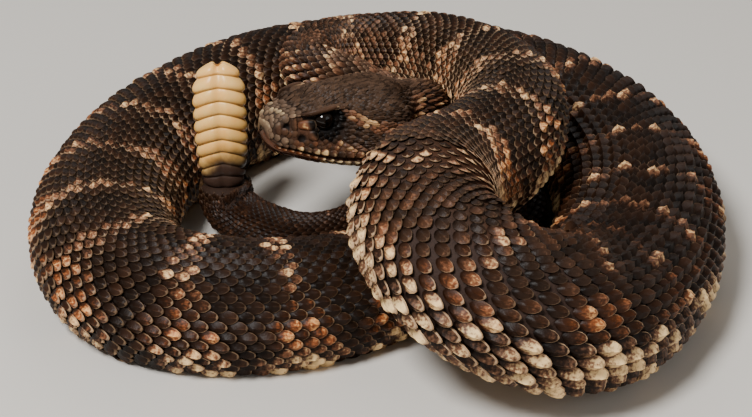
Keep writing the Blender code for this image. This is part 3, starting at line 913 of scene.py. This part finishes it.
def ring_pitch(body, distance):
    """Distance between rings of scales, closer where the body is thin or turns."""
    width, _, bend = body.size(distance)
    pitch = SCALE_PITCH * (width / WIDEST) ** 0.6 / (1 + TURN_CROWDING * np.abs(bend) * width / 2)
    pitch = pitch * (1 - 0.32 * rise_and_fall(distance, GATHERED)) * rear_share(distance)
    return mix(HEAD_SCALE_PITCH, pitch, smooth_step(*HEAD_TO_BODY, distance))


def row_gap(body, distance):
    """Distance between rows of scales round the body."""
    width = body.size(distance)[0]
    gap = ROW_GAP * (width / WIDEST) ** 0.8 * rear_share(distance)
    return mix(HEAD_ROW_GAP, gap, smooth_step(*HEAD_TO_BODY, distance))


def lowest_row(distance):
    """Degrees from the spine where the small scales end: over the brow, at the lip, at the belly."""
    behind = distance + HEAD_LENGTH
    on_head = mix(36, LIP_TOP, smooth_step(14.5, 17.5, behind))
    return mix(on_head, VENTRAL_EDGE - 3, smooth_step(-13.5, -11, distance))


def small_scale_roots(body):
    """Rings of roots from the crown to the rattle, every other row in each, and how wide a row is."""
    draw = np.random.default_rng(SEED + 6)
    found = []
    at, number = CROWN_START - HEAD_LENGTH, 0
    fine = np.linspace(0, math.pi, 400)
    while at < body.length - SCALES_END:
        gap, pitch = row_gap(body, at), ring_pitch(body, at)
        spread = mix(*ROW_SPREAD, smooth_step(*HEAD_TO_BODY, at))
        loose = 0.32 * (1 - smooth_step(-8, 6, at))
        for side in (1, -1):
            line = surface(body, at, side * fine)
            arc = run_along(line)
            limit = np.interp(math.radians(lowest_row(at)), fine, arc)
            first = number % 2 if side > 0 else 2 - number % 2
            share = np.arange(first, int(limit / gap + 0.35) + 1, 2) * gap / limit
            run = limit * share * (1 - spread + spread * share)
            run = run + loose * gap * draw.uniform(-1, 1, len(run))
            angles = side * np.interp(run, arc, fine)
            places = at + loose * pitch * draw.uniform(-1, 1, len(run))
            found.append(np.stack([places, angles, 1 - spread + 2 * spread * share]))
        at += pitch / 2
        number += 1
    return np.concatenate(found, axis=1)


def small_scales(body, tree, finish):
    """Keeled scales of the crown, body and tail, in pieces of a size that one mesh can hold."""
    distance, angle, breadth = small_scale_roots(body)
    chance = np.random.default_rng(SEED).random(len(distance))
    wide = stretch(body, distance, angle)
    gathered = np.clip(1 - wide, 0, 0.7) * (1 - 0.8 * smooth_step(*TAIL_DARKENS, distance))
    drawn = mix(0.5, 1, rise_and_fall(distance, FRONT_LOOP))
    drawn = drawn * (1 - 0.75 * rise_and_fall(distance, GATHERED))
    pulled = 1 + (wide - 1) * np.where(wide > 1, drawn, 1)
    size = mix(*SIZE_SPREAD, chance)
    width = row_gap(body, distance) * breadth * np.interp(pulled, *SCALE_WIDTH) * size
    length = ring_pitch(body, distance) * wide * np.interp(pulled, *SCALE_LENGTH) * size
    flank = np.abs(np.degrees(angle)) / VENTRAL_EDGE
    lowest = smooth_step(0.88, 0.96, flank) * smooth_step(20, 60, distance)
    lowest = np.maximum(lowest, smooth_step(0.46, 0.66, flank) * rise_and_fall(distance, FRONT_LOOP))
    width, length = width * (1 + EDGE_WIDER * lowest), length * (1 + EDGE_LONGER * lowest)
    tilt = np.radians(SCALE_TILT + TILT_SPREAD * chance + GATHERED_TILT * gathered)
    shape = scale_shape("keeled_scale", (6, 4), tip=2.2, dome=0.1, keel=0.12, thickness=0.06)
    order = np.arange(len(distance))
    pieces = max(1, math.ceil(len(order) / SCALES_PER_PIECE))
    for number, share in enumerate(np.array_split(order, pieces), start=1):
        roots = (values[share] for values in (distance, angle, width, length, tilt, chance))
        lay(f"body_scales_{number}", body, tree, shape, finish, roots)


def plate(body, span, chance, slope=0.0):
    """A domed plate with round corners on the head, between two distances and two angles."""
    start, end, low, high, rise = span
    u = np.linspace(-1, 1, PLATE_STEPS + 1)
    gu, gv = np.meshgrid(u, u, indexing="ij")
    ru = gu * np.sqrt(1 - CORNER_ROUND * gv**2 / 2)
    rv = gv * np.sqrt(1 - CORNER_ROUND * gu**2 / 2)
    distance = (start + end) / 2 + ru * (end - start) / 2 - HEAD_LENGTH
    angle = np.radians((low + high) / 2 + rv * (high - low) / 2 + slope * ru)
    place, outward, _, _ = surface_frame(body, distance, angle)
    edge = np.maximum(np.abs(gu), np.abs(gv)) ** 5
    upper = place + (rise * (1 - 0.55 * edge) - COAT_DEPTH)[..., None] * outward
    lower = place - (COAT_DEPTH + 0.3) * outward
    points, faces = closed_sheet(upper, lower)
    chances = np.full(len(points), chance)
    marks = markings(sheet_values(distance), sheet_values(angle), chances)
    u, v = sheet_values(gu), sheet_values(gv)
    marks |= {"chance": chances, "along": (u + 1) / 2, "across": v}
    middle = unwrap(strip_place(body, distance.mean()), angle.mean())
    uv = middle + np.stack([u, v], axis=-1) * SCALE_PATCH / 2
    return points, faces, marks, uv


def joined(name, parts, finish):
    """One mesh from many plates, each with its points, faces, values and place on the unwrap."""
    points, faces, first = [], [], 0
    for part in parts:
        points.append(part[0])
        faces += [[corner + first for corner in face] for face in part[1]]
        first += len(part[0])
    marks = {key: np.concatenate([part[2][key] for part in parts]) for key in parts[0][2]}
    made = mesh_object(name, np.concatenate(points), faces, marks, sharp=50)
    made.data.materials.append(finish)
    set_uv(made.data, np.concatenate([part[3] for part in parts])[corner_points(made.data)])
    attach(made, "root")
    return made


def lip_row(row, low, high, rise):
    """Plates of one lip, a little shorter toward the snout."""
    share = np.linspace(0, 1, LIP_PLATES + 1) ** 1.12
    marks = row[0] + (row[1] - row[0]) * share
    gap = 0.06
    return [(a + gap, b - gap, low, high, rise) for a, b in zip(marks, marks[1:])]


def on_both_sides(span):
    """The span of a plate on the left and its mirror image's on the right."""
    start, end, low, high, rise = span
    return [(start, end, *sorted((side * low, side * high)), rise) for side in (1, -1)]


def head_plates(body, finish):
    """The larger plates: tip of the snout, nostrils, in front of the eyes, lips and brows."""
    draw = np.random.default_rng(SEED + 1)
    spans = list(HEAD_PLATES)
    spans += lip_row(UPPER_LIPS, LIP_TOP + 1, MOUTH_ROW - 1.5, 0.5)
    spans += lip_row(LOWER_LIPS, CHIN_TOP + 1, CHIN_TOP + 12, 0.5)
    parts = [plate(body, ROSTRAL, 0.6)]
    parts += [plate(body, one, draw.random()) for span in spans for one in on_both_sides(span)]
    for one, slope in zip(on_both_sides(BROW_SHIELD), (BROW_SLOPE, -BROW_SLOPE)):
        parts.append(plate(body, one, 0.5, slope))
    return joined("head_plates", parts, finish)


def granule_free(behind, degrees):
    """Whether a pebble may stand there: outside the crown's scales, plates, eye, pit and nostril."""
    size = abs(degrees)
    if behind > CROWN_START - 0.5 and size < lowest_row(behind - HEAD_LENGTH) + 2:
        return False
    start, end, low, high = BROW_FREE
    if start < behind < end and low < brow_slope(behind, size) < high:
        return False
    for start, end, low, high, _ in HEAD_PLATES:
        if start - 0.35 < behind < end + 0.35 and low - 2 < size < high + 2:
            return False
    return all(head_distance(behind, size, *spot) > reach for *spot, reach in HOLLOWS_FREE)


def granule_roots(body):
    """Places behind the snout and in degrees, no two too close, and each one's room to its neighbours."""
    draw = np.random.default_rng(SEED + 2)
    found = []
    for k in range(EYE_RING):
        way = math.radians(-15 + 210 * k / (EYE_RING - 1))
        degrees = EYE_SPOT[1] + EYE_RING_RADIUS * math.sin(way) / MM_PER_DEGREE
        found += [(EYE_SPOT[0] + EYE_RING_RADIUS * math.cos(way), side * degrees) for side in (1, -1)]
    along = draw.uniform(1.2, GRANULES_TO, GRANULE_TRIES)
    around = draw.uniform(-LIP_TOP, LIP_TOP, GRANULE_TRIES)
    found += [spot for spot in zip(along, around) if granule_free(*spot)]
    found = np.array(found)
    places = surface(body, found[:, 0] - HEAD_LENGTH, np.radians(found[:, 1]))
    spacing = mix(*GRANULE, smooth_step(5, 9, found[:, 0]) * smooth_step(50, 58, np.abs(found[:, 1])))
    kept = []
    for number, place in enumerate(places):
        ring = number < 2 * EYE_RING
        if ring or np.linalg.norm(places[kept] - place, axis=1).min() > spacing[number]:
            kept.append(number)
    apart = np.linalg.norm(places[kept][:, None] - places[kept][None], axis=-1)
    room = np.sort(apart, axis=1)[:, 1:4].mean(axis=1)
    return found[kept], np.clip(room, spacing[kept], 1.45 * spacing[kept])


def granules(body, tree, finish):
    """Pebbled scales of the snout, the cheek in front of the eye and the ring under the eye."""
    found, room = granule_roots(body)
    chance = np.random.default_rng(SEED + 3).random(len(found))
    size = room * mix(0.98, 1.1, chance)
    shape = scale_shape("pebble_scale", (5, 6), tip=2.4, dome=0.13, keel=0.0, thickness=0.08)
    distance = found[:, 0] - HEAD_LENGTH - 0.5 * size
    distance = np.maximum(distance, 0.15 - HEAD_LENGTH)
    roots = (distance, np.radians(found[:, 1]), size, size, np.zeros(len(size)), chance)
    lay("snout_granules", body, tree, shape, finish, roots)


def chin_scales(body, tree, finish):
    """Smooth scales under the jaw, in rows from the chin to the first belly scute."""
    rows = np.arange(1.6, HEAD_LENGTH + 1, CHIN_SCALE / 2)
    rows, columns = np.meshgrid(rows, np.arange(-CHIN_COLUMNS, CHIN_COLUMNS + 1))
    keep = (np.round(rows / (CHIN_SCALE / 2)).astype(int) + columns) % 2 == 0
    behind, column = rows[keep], columns[keep]
    reach = mix(*CHIN_REACH, smooth_step(0, 5, behind))
    angle = math.pi + np.radians(column / CHIN_COLUMNS * reach)
    chance = np.random.default_rng(SEED + 4).random(len(behind))
    width = CHIN_SCALE * smooth_step(-2, 9, behind)
    shape = scale_shape("chin_scale", (5, 5), tip=2.2, dome=0.05, keel=0.0, thickness=0.05)
    length = np.full(len(behind), CHIN_SCALE * 1.15)
    tilt = np.full(len(behind), math.radians(CHIN_TILT))
    roots = (behind - HEAD_LENGTH, angle, width, length, tilt, chance)
    lay("chin_scales", body, tree, shape, finish, roots)


def belly_scutes(body, finish):
    """One broad lapped plate across the belly for each ring of scales."""
    draw = np.random.default_rng(SEED + 5)
    half = math.radians(180 - VENTRAL_EDGE + 3)
    parts, at = [], 2.0
    while at < body.length - 2.5:
        pitch = ring_pitch(body, at)
        shares = np.linspace(0, 1, SCUTE_ROWS), np.linspace(-1, 1, SCUTE_COLUMNS)
        along, across = np.meshgrid(*shares, indexing="ij")
        distance, angle = at + SCUTE_LAP * pitch * along, math.pi + half * across
        place, outward, _, _ = surface_frame(body, distance, angle)
        upper = place + (mix(0.08, 0.5, along) - COAT_DEPTH)[..., None] * outward
        lower = place + (mix(-0.1, 0.28, along) - coat_depth(body, distance))[..., None] * outward
        points, faces = closed_sheet(upper, lower)
        whole = [sheet_values(along), sheet_values(across)]
        fixed = SCUTE_MARKS | {"chance": draw.random()}
        marks = {"along": whole[0], "across": whole[1]}
        marks |= {key: np.full(len(points), value) for key, value in fixed.items()}
        uv = unwrap(strip_place(body, at), math.pi - 0.01) + np.stack(whole, axis=-1) * SCALE_PATCH / 2
        parts.append((points, faces, marks, uv))
        at += pitch
    return joined("belly_scutes", parts, finish)


def eye(body, side, finish):
    """A glossy ball set as deep as its socket, with an upright slit pupil."""
    behind, out, up = EYE_PLACE
    centre = head_point(body, behind, side * out, up)
    _, ahead, left, back = body.frame(0.0)
    axis = unit(side * left - 0.12 * ahead)
    level = unit(np.cross(back, axis))
    polar = np.linspace(0.02, math.pi - 0.02, EYE_RINGS)
    turns = np.arange(EYE_COLUMNS) * math.tau / EYE_COLUMNS
    polar, turn = np.meshgrid(polar, turns, indexing="ij")
    cross, rise, front = np.sin(polar) * np.cos(turn), np.sin(polar) * np.sin(turn), np.cos(polar)
    ways = cross[..., None] * level + rise[..., None] * np.cross(axis, level) + front[..., None] * axis
    ends = np.stack([centre + EYE_RADIUS * axis, centre - EYE_RADIUS * axis])
    points, faces = closed_tube(centre + EYE_RADIUS * ways, ends)
    slit = np.hypot(cross / PUPIL[0], rise / PUPIL[1]) + 9 * (front < 0)
    name = "left" if side > 0 else "right"
    made = mesh_object(f"eyeball_{name}", points, faces, {"slit": tube_values(slit, 0, 9)}, sharp=None)
    fix_normals(made)
    made.data.materials.append(finish)
    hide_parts(f"eye_{name}")
    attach(made, "root")
    return made


def fix_normals(made):
    """Turns every face of a closed mesh outward."""
    shape = bmesh.new()
    shape.from_mesh(made.data)
    bmesh.ops.recalc_face_normals(shape, faces=shape.faces)
    shape.to_mesh(made.data)
    shape.free()


def rattle_taper(along):
    """Narrow at the base, full at the middle, rounded off at the last segment."""
    total = RATTLE_SEGMENTS * SEGMENT_PITCH
    widening = mix(0.73, 1, smooth_step(-0.1 * total, 0.5 * total, along))
    return widening * mix(0.72, 1, smooth_step(0, 2 * SEGMENT_PITCH, total - along))


def rattle(body, finish):
    """Horny segments, each lapping the next, with a groove down both broad faces."""
    total = RATTLE_SEGMENTS * SEGMENT_PITCH
    height = float(body.size(body.length)[1])
    rows = np.linspace(0, total, RATTLE_SEGMENTS * LOBE_STEPS + 1)
    angles = np.arange(RATTLE_COLUMNS) * math.tau / RATTLE_COLUMNS
    along, angle = np.meshgrid(rows, angles, indexing="ij")
    lobe = (along / SEGMENT_PITCH) % 1
    round_lobe = 0.85 + 0.15 * np.sin(math.pi * lobe**0.8) ** 0.7
    deep = HORN_GROOVE * mix(0.5, 1, smooth_step(0.7 * total, total, along))
    groove = 1 - deep * bump_at(np.cos(angle), 0, 0.22)
    closing = np.sqrt(np.clip(1 - (np.maximum(along - total + 2.2, 0) / 2.3) ** 2, 0, 1))
    scale = rattle_taper(along) * round_lobe * closing
    thick = np.sin(angle) * RATTLE_THICKNESS / 2 * groove * scale
    wide = np.cos(angle) * RATTLE_WIDTH / 2 * scale
    level = smooth_step(0, 2 * SEGMENT_PITCH, along) * mix(1, 0.4, smooth_step(0.7 * total, total, along))
    drop = RATTLE_BOW * level * np.cos(angle) ** 2
    drop = drop + NOTCH * smooth_step(total - 3, total, along) * bump_at(wide, 0, 0.8)
    lean = math.radians(RATTLE_LEAN) * along / total
    rise = along * np.cos(lean / 2) - thick * np.sin(lean) - drop * np.cos(lean)
    thick = along * np.sin(lean / 2) + thick * np.cos(lean) - drop * np.sin(lean)
    turn = math.radians(RATTLE_TURN)
    left = thick * math.cos(turn) - wide * math.sin(turn)
    back = thick * math.sin(turn) + wide * math.cos(turn) + BELLY_SHARE * height
    point, ahead, side, up = body.frame(np.full(along.shape, body.length))
    points = point + (rise + GAP)[..., None] * ahead + left[..., None] * side + back[..., None] * up
    points, faces = closed_tube(points)
    marks = {
        "grown": tube_values(along / total, 0, 1),
        "lobe": tube_values(lobe, 0, 0),
        "breadth": tube_values(np.cos(angle), 0, 0),
    }
    made = mesh_object("rattle_segments", points, faces, marks, sharp=None)
    fix_normals(made)
    made.data.materials.append(finish)
    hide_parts("rattle")
    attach(made, "root")
    return made


def new_finish(name):
    """A material with its node tree and shader."""
    made = bpy.data.materials.new(name)
    made.use_nodes = True
    tree = made.node_tree
    return made, tree, tree.nodes["Principled BSDF"]


def hide_colours(tree, amount):
    """Dark hide turning through grey or rust to cream or buff, by how pale and how warm it is."""
    warm = add(tree, "ShaderNodeAttribute", attribute_name="warm").outputs["Fac"]
    levels = []
    for cold, hot in ((DARK_HIDE, UMBER_HIDE), (GREY_HIDE, RUST_HIDE), (CREAM_HIDE, BUFF_HIDE)):
        level = add(tree, "ShaderNodeMix", {0: warm, 6: linear(cold), 7: linear(hot)}, data_type="RGBA")
        levels.append(level)
    lower = add(tree, "ShaderNodeMapRange", {"Value": amount, "From Max": 0.5})
    upper = add(tree, "ShaderNodeMapRange", {"Value": amount, "From Min": 0.5})
    colour = add(tree, "ShaderNodeMix", {0: lower, 6: levels[0], 7: levels[1]}, data_type="RGBA")
    return add(tree, "ShaderNodeMix", {0: upper, 6: colour, 7: levels[2]}, data_type="RGBA").outputs[2]


def scale_finish():
    """Keratin of living scales: dry and slightly waxy, ragged brown marks on a pale ground, a pale rim,
    with painted shade at each base, painted light at each tip and a painted glint on each keel.
    """
    made, tree, shader = new_finish("keratin_scale")
    place = add(tree, "ShaderNodeTexCoord").outputs["Object"]
    ragged = add(tree, "ShaderNodeTexNoise", {"Vector": place, "Scale": 1300.0, "Detail": 5.0})
    ragged = ragged.outputs["Fac"]
    values = {
        key: add(tree, "ShaderNodeAttribute", attribute_name=key).outputs["Fac"]
        for key in ("pale", "rim", "even", "shade", "chance", "along", "across")
    }
    wide = add(tree, "ShaderNodeMath", {0: values["across"]}, operation="ABSOLUTE")
    edge = add(tree, "ShaderNodeMath", {0: wide, 1: values["along"]}, operation="MAXIMUM")
    # Marks: more pale where the place is pale, less at the scale's base and inside its rim
    base = add(tree, "ShaderNodeMapRange", {
        "Value": values["along"], "From Min": 0.1, "From Max": 0.75, "To Min": -1.2, "To Max": -0.36,
    })
    margin = add(tree, "ShaderNodeMapRange", {
        "Value": edge, "From Min": 0.3, "From Max": 0.85, "To Max": -0.4,
    })
    marked = add(tree, "ShaderNodeMath", {0: ragged, 1: 1.1, 2: base}, operation="MULTIPLY_ADD")
    marked = add(tree, "ShaderNodeMath", {0: marked, 1: margin}, operation="ADD")
    marked = add(tree, "ShaderNodeMath", {0: values["pale"], 1: 1.3, 2: marked}, operation="MULTIPLY_ADD")
    marked = add(tree, "ShaderNodeMapRange", {
        "Value": marked, "From Min": 0.42, "From Max": 1.05,
    }, interpolation_type="SMOOTHSTEP")
    strength = add(tree, "ShaderNodeMapRange", {"Value": values["pale"], "To Min": 0.45})
    amount = add(tree, "ShaderNodeMath", {0: marked, 1: strength}, operation="MULTIPLY")
    amount = add(tree, "ShaderNodeMix", {0: values["even"], 2: amount, 3: values["pale"]})
    rimmed = add(tree, "ShaderNodeMapRange", {
        "Value": edge, "From Min": 0.88, "From Max": 0.97,
    }, interpolation_type="SMOOTHSTEP")
    back_half = add(tree, "ShaderNodeMapRange", {
        "Value": values["along"], "From Min": 0.5, "From Max": 0.8,
    })
    rim = add(tree, "ShaderNodeMath", {0: rimmed, 1: back_half}, operation="MULTIPLY")
    rim = add(tree, "ShaderNodeMath", {0: rim, 1: values["rim"]}, operation="MULTIPLY")
    # Painted glint: a thin paler line down the back half of each keel
    keel = add(tree, "ShaderNodeMapRange", {
        "Value": wide, "From Min": 0.12, "From Max": 0.0, "To Max": 0.1,
    })
    keel = add(tree, "ShaderNodeMath", {0: keel, 1: back_half}, operation="MULTIPLY")
    amount = add(tree, "ShaderNodeMath", {0: amount, 1: keel}, operation="ADD", use_clamp=True)
    colour = hide_colours(tree, amount)
    # Painted shade darkens each scale's base and painted light brightens its tip; an even hide flattens
    # both
    depth = add(tree, "ShaderNodeMapRange", {
        "Value": values["along"], "From Min": 0.1, "From Max": 0.8, "To Min": 0.22, "To Max": 1.3,
    })
    flat = add(tree, "ShaderNodeMath", {0: values["even"], 1: 0.6}, operation="MULTIPLY")
    depth = add(tree, "ShaderNodeMix", {0: flat, 2: depth, 3: 1.0})
    tone = add(tree, "ShaderNodeMapRange", {"Value": values["chance"], "To Min": 0.65, "To Max": 1.35})
    tone = add(tree, "ShaderNodeMath", {0: tone, 1: depth}, operation="MULTIPLY")
    # Painted shade round the eyes, from the shade values
    tone = add(tree, "ShaderNodeMath", {0: tone, 1: values["shade"]}, operation="MULTIPLY")
    colour = add(tree, "ShaderNodeVectorMath", {0: colour, "Scale": tone}, operation="SCALE")
    colour = add(
        tree, "ShaderNodeMix", {0: rim, 6: colour, 7: linear(RIM_HIDE)}, data_type="RGBA"
    )
    tree.links.new(colour.outputs[2], shader.inputs["Base Color"])
    shader.inputs["Roughness"].default_value = 0.45
    shader.inputs["Specular IOR Level"].default_value = 0.14
    grain = add(tree, "ShaderNodeTexNoise", {"Vector": place, "Scale": 2200.0, "Detail": 4.0})
    bump = add(tree, "ShaderNodeBump", {
        "Height": grain.outputs["Fac"], "Strength": 0.6, "Distance": 0.00015,
    })
    tree.links.new(bump.outputs[0], shader.inputs["Normal"])
    return made


def hide_finish():
    """Thin hide between the scales: matt, finely folded, mauve-brown where a turn stretches it, darker
    under painted shade round the eyes and in the head's sockets.
    """
    made, tree, shader = new_finish("folded_hide")
    place = add(tree, "ShaderNodeTexCoord").outputs["Object"]
    folds = add(tree, "ShaderNodeTexVoronoi", {"Vector": place, "Scale": 2200.0})
    pale = add(tree, "ShaderNodeAttribute", attribute_name="pale").outputs["Fac"]
    amount = add(tree, "ShaderNodeMath", {0: pale, 1: 0.22}, operation="MULTIPLY")
    colour = hide_colours(tree, amount)
    pulled = add(tree, "ShaderNodeAttribute", attribute_name="stretch").outputs["Fac"]
    pulled = add(tree, "ShaderNodeMapRange", {"Value": pulled, "From Min": 1.0, "From Max": 1.3})
    colour = add(
        tree, "ShaderNodeMix", {0: pulled, 6: colour, 7: linear(STRETCHED_HIDE)}, data_type="RGBA"
    )
    shade = add(tree, "ShaderNodeMapRange", {
        "Value": folds.outputs["Distance"], "From Max": 0.6, "To Min": 0.6, "To Max": 1.05,
    })
    # Painted shade round the eyes and in the head's sockets, from the shade values
    lit = add(tree, "ShaderNodeAttribute", attribute_name="shade").outputs["Fac"]
    shade = add(tree, "ShaderNodeMath", {0: shade, 1: lit}, operation="MULTIPLY")
    colour = add(tree, "ShaderNodeVectorMath", {0: colour, "Scale": shade}, operation="SCALE")
    tree.links.new(colour.outputs[0], shader.inputs["Base Color"])
    shader.inputs["Roughness"].default_value = 0.75
    shader.inputs["Specular IOR Level"].default_value = 0.2
    bump = add(tree, "ShaderNodeBump", {
        "Height": folds.outputs["Distance"], "Strength": 0.5, "Distance": 0.0001,
    })
    tree.links.new(bump.outputs[0], shader.inputs["Normal"])
    return made


def eye_finish():
    """Wet clear spectacle over a near-black iris with an upright slit pupil."""
    made, tree, shader = new_finish("glossy_eye")
    slit = add(tree, "ShaderNodeAttribute", attribute_name="slit").outputs["Fac"]
    place = add(tree, "ShaderNodeTexCoord").outputs["Object"]
    flecks = add(tree, "ShaderNodeTexNoise", {"Vector": place, "Scale": 3000.0}).outputs["Fac"]
    iris = add(tree, "ShaderNodeMix", {
        0: flecks, 6: linear("#070504"), 7: linear("#170e08"),
    }, data_type="RGBA")
    inside = add(tree, "ShaderNodeMapRange", {"Value": slit, "From Min": 1.15, "From Max": 0.95})
    colour = add(
        tree, "ShaderNodeMix", {0: inside, 6: iris, 7: linear("#020202")}, data_type="RGBA"
    )
    tree.links.new(colour.outputs[2], shader.inputs["Base Color"])
    shader.inputs["Roughness"].default_value = 0.06
    shader.inputs["IOR"].default_value = 1.4
    return made


def horn_finish():
    """Dry horn: smooth, slightly see-through keratin, amber at the seams and dark brown at the base."""
    made, tree, shader = new_finish("dry_horn")
    place = add(tree, "ShaderNodeTexCoord").outputs["Object"]
    stain = add(tree, "ShaderNodeTexNoise", {"Vector": place, "Scale": 260.0, "Detail": 4.0}).outputs["Fac"]
    grown = add(tree, "ShaderNodeAttribute", attribute_name="grown").outputs["Fac"]
    lobe = add(tree, "ShaderNodeAttribute", attribute_name="lobe").outputs["Fac"]
    breadth = add(tree, "ShaderNodeAttribute", attribute_name="breadth").outputs["Fac"]
    pale = add(tree, "ShaderNodeMix", {
        0: stain, 6: linear("#fbaa44"), 7: linear("#ffd888"),
    }, data_type="RGBA")
    seam = add(tree, "ShaderNodeMapRange", {"Value": lobe, "From Min": 0.2, "From Max": 0.0})
    horn = add(
        tree, "ShaderNodeMix", {0: seam, 6: pale, 7: linear("#a56c2b")}, data_type="RGBA"
    )
    young = add(tree, "ShaderNodeMath", {0: stain, 1: 0.16, 2: grown}, operation="MULTIPLY_ADD")
    # Painted shade: the dark base reaches a little further along one broad edge of the rattle
    lean = add(tree, "ShaderNodeMath", {0: breadth, 1: -0.05, 2: young}, operation="MULTIPLY_ADD")
    young = add(tree, "ShaderNodeMapRange", {
        "Value": lean, "From Min": 0.46, "From Max": 0.24,
    }, interpolation_type="SMOOTHSTEP")
    colour = add(
        tree, "ShaderNodeMix", {0: young, 6: horn, 7: linear("#3d2b22")}, data_type="RGBA"
    )
    tree.links.new(colour.outputs[2], shader.inputs["Base Color"])
    shader.inputs["Roughness"].default_value = 0.38
    shader.inputs["IOR"].default_value = 1.54
    shader.inputs["Subsurface Weight"].default_value = 0.12
    shader.inputs["Subsurface Radius"].default_value = (0.002, 0.0012, 0.0006)
    lines = add(tree, "ShaderNodeTexNoise", {"Vector": place, "Scale": 1800.0, "Detail": 2.0})
    bump = add(tree, "ShaderNodeBump", {
        "Height": lines.outputs["Fac"], "Strength": 0.25, "Distance": 0.0001,
    })
    tree.links.new(bump.outputs[0], shader.inputs["Normal"])
    return made


def studio():
    """Camera, plain floor and soft lights."""
    lift = math.radians(CAMERA_LIFT)
    target = Vector(CAMERA_TARGET) * MM
    view = bpy.data.cameras.new("camera")
    view.sensor_width = SENSOR
    view.lens = SENSOR * PIXELS_PER_MM * CAMERA_DISTANCE / IMAGE_WIDTH
    view.clip_start, view.clip_end = 0.01, 20
    camera = bpy.data.objects.new("camera", view)
    camera.location = target + Vector((0, -math.cos(lift), math.sin(lift))) * CAMERA_DISTANCE * MM
    camera.rotation_euler = (math.pi / 2 - lift, 0, 0)
    bpy.context.collection.objects.link(camera)
    bpy.context.scene.camera = camera
    mesh = bpy.data.meshes.new("floor")
    mesh.from_pydata([(-3, -3, 0), (3, -3, 0), (3, 3, 0), (-3, 3, 0)], [], [(0, 1, 2, 3)])
    floor = bpy.data.objects.new("floor", mesh)
    bpy.context.collection.objects.link(floor)
    plain, _, shader = new_finish("pale_floor")
    shader.inputs["Base Color"].default_value = linear("#cfcac2")
    shader.inputs["Roughness"].default_value = 0.9
    mesh.materials.append(plain)
    for name, place, size, watts in (
        ("key", (-0.35, -0.5, 0.85), 0.3, 15.0),
        ("fill", (0.8, -0.6, 0.5), 0.9, 2.5),
        ("back", (0.1, 0.8, 0.8), 0.6, 2.0),
    ):
        lamp = bpy.data.lights.new(name, "AREA")
        lamp.shape, lamp.size, lamp.energy = "DISK", size, watts
        lit = bpy.data.objects.new(name, lamp)
        lit.location = place
        lit.rotation_euler = (-Vector(place)).to_track_quat("-Z", "Y").to_euler()
        bpy.context.collection.objects.link(lit)
    world = bpy.data.worlds.new("studio")
    bpy.context.scene.world = world
    world.use_nodes = True
    sky = world.node_tree.nodes["Background"]
    sky.inputs["Color"].default_value = linear("#efebe4")
    sky.inputs["Strength"].default_value = 0.24


def main():
    body = Body()
    tree = laying_tree()
    keratin = scale_finish()
    skin(body, hide_finish())
    small_scales(body, tree, keratin)
    head_plates(body, keratin)
    granules(body, tree, keratin)
    chin_scales(body, tree, keratin)
    belly_scutes(body, keratin)
    clear = eye_finish()
    for side in (1, -1):
        eye(body, side, clear)
    rattle(body, horn_finish())
    studio()


main()
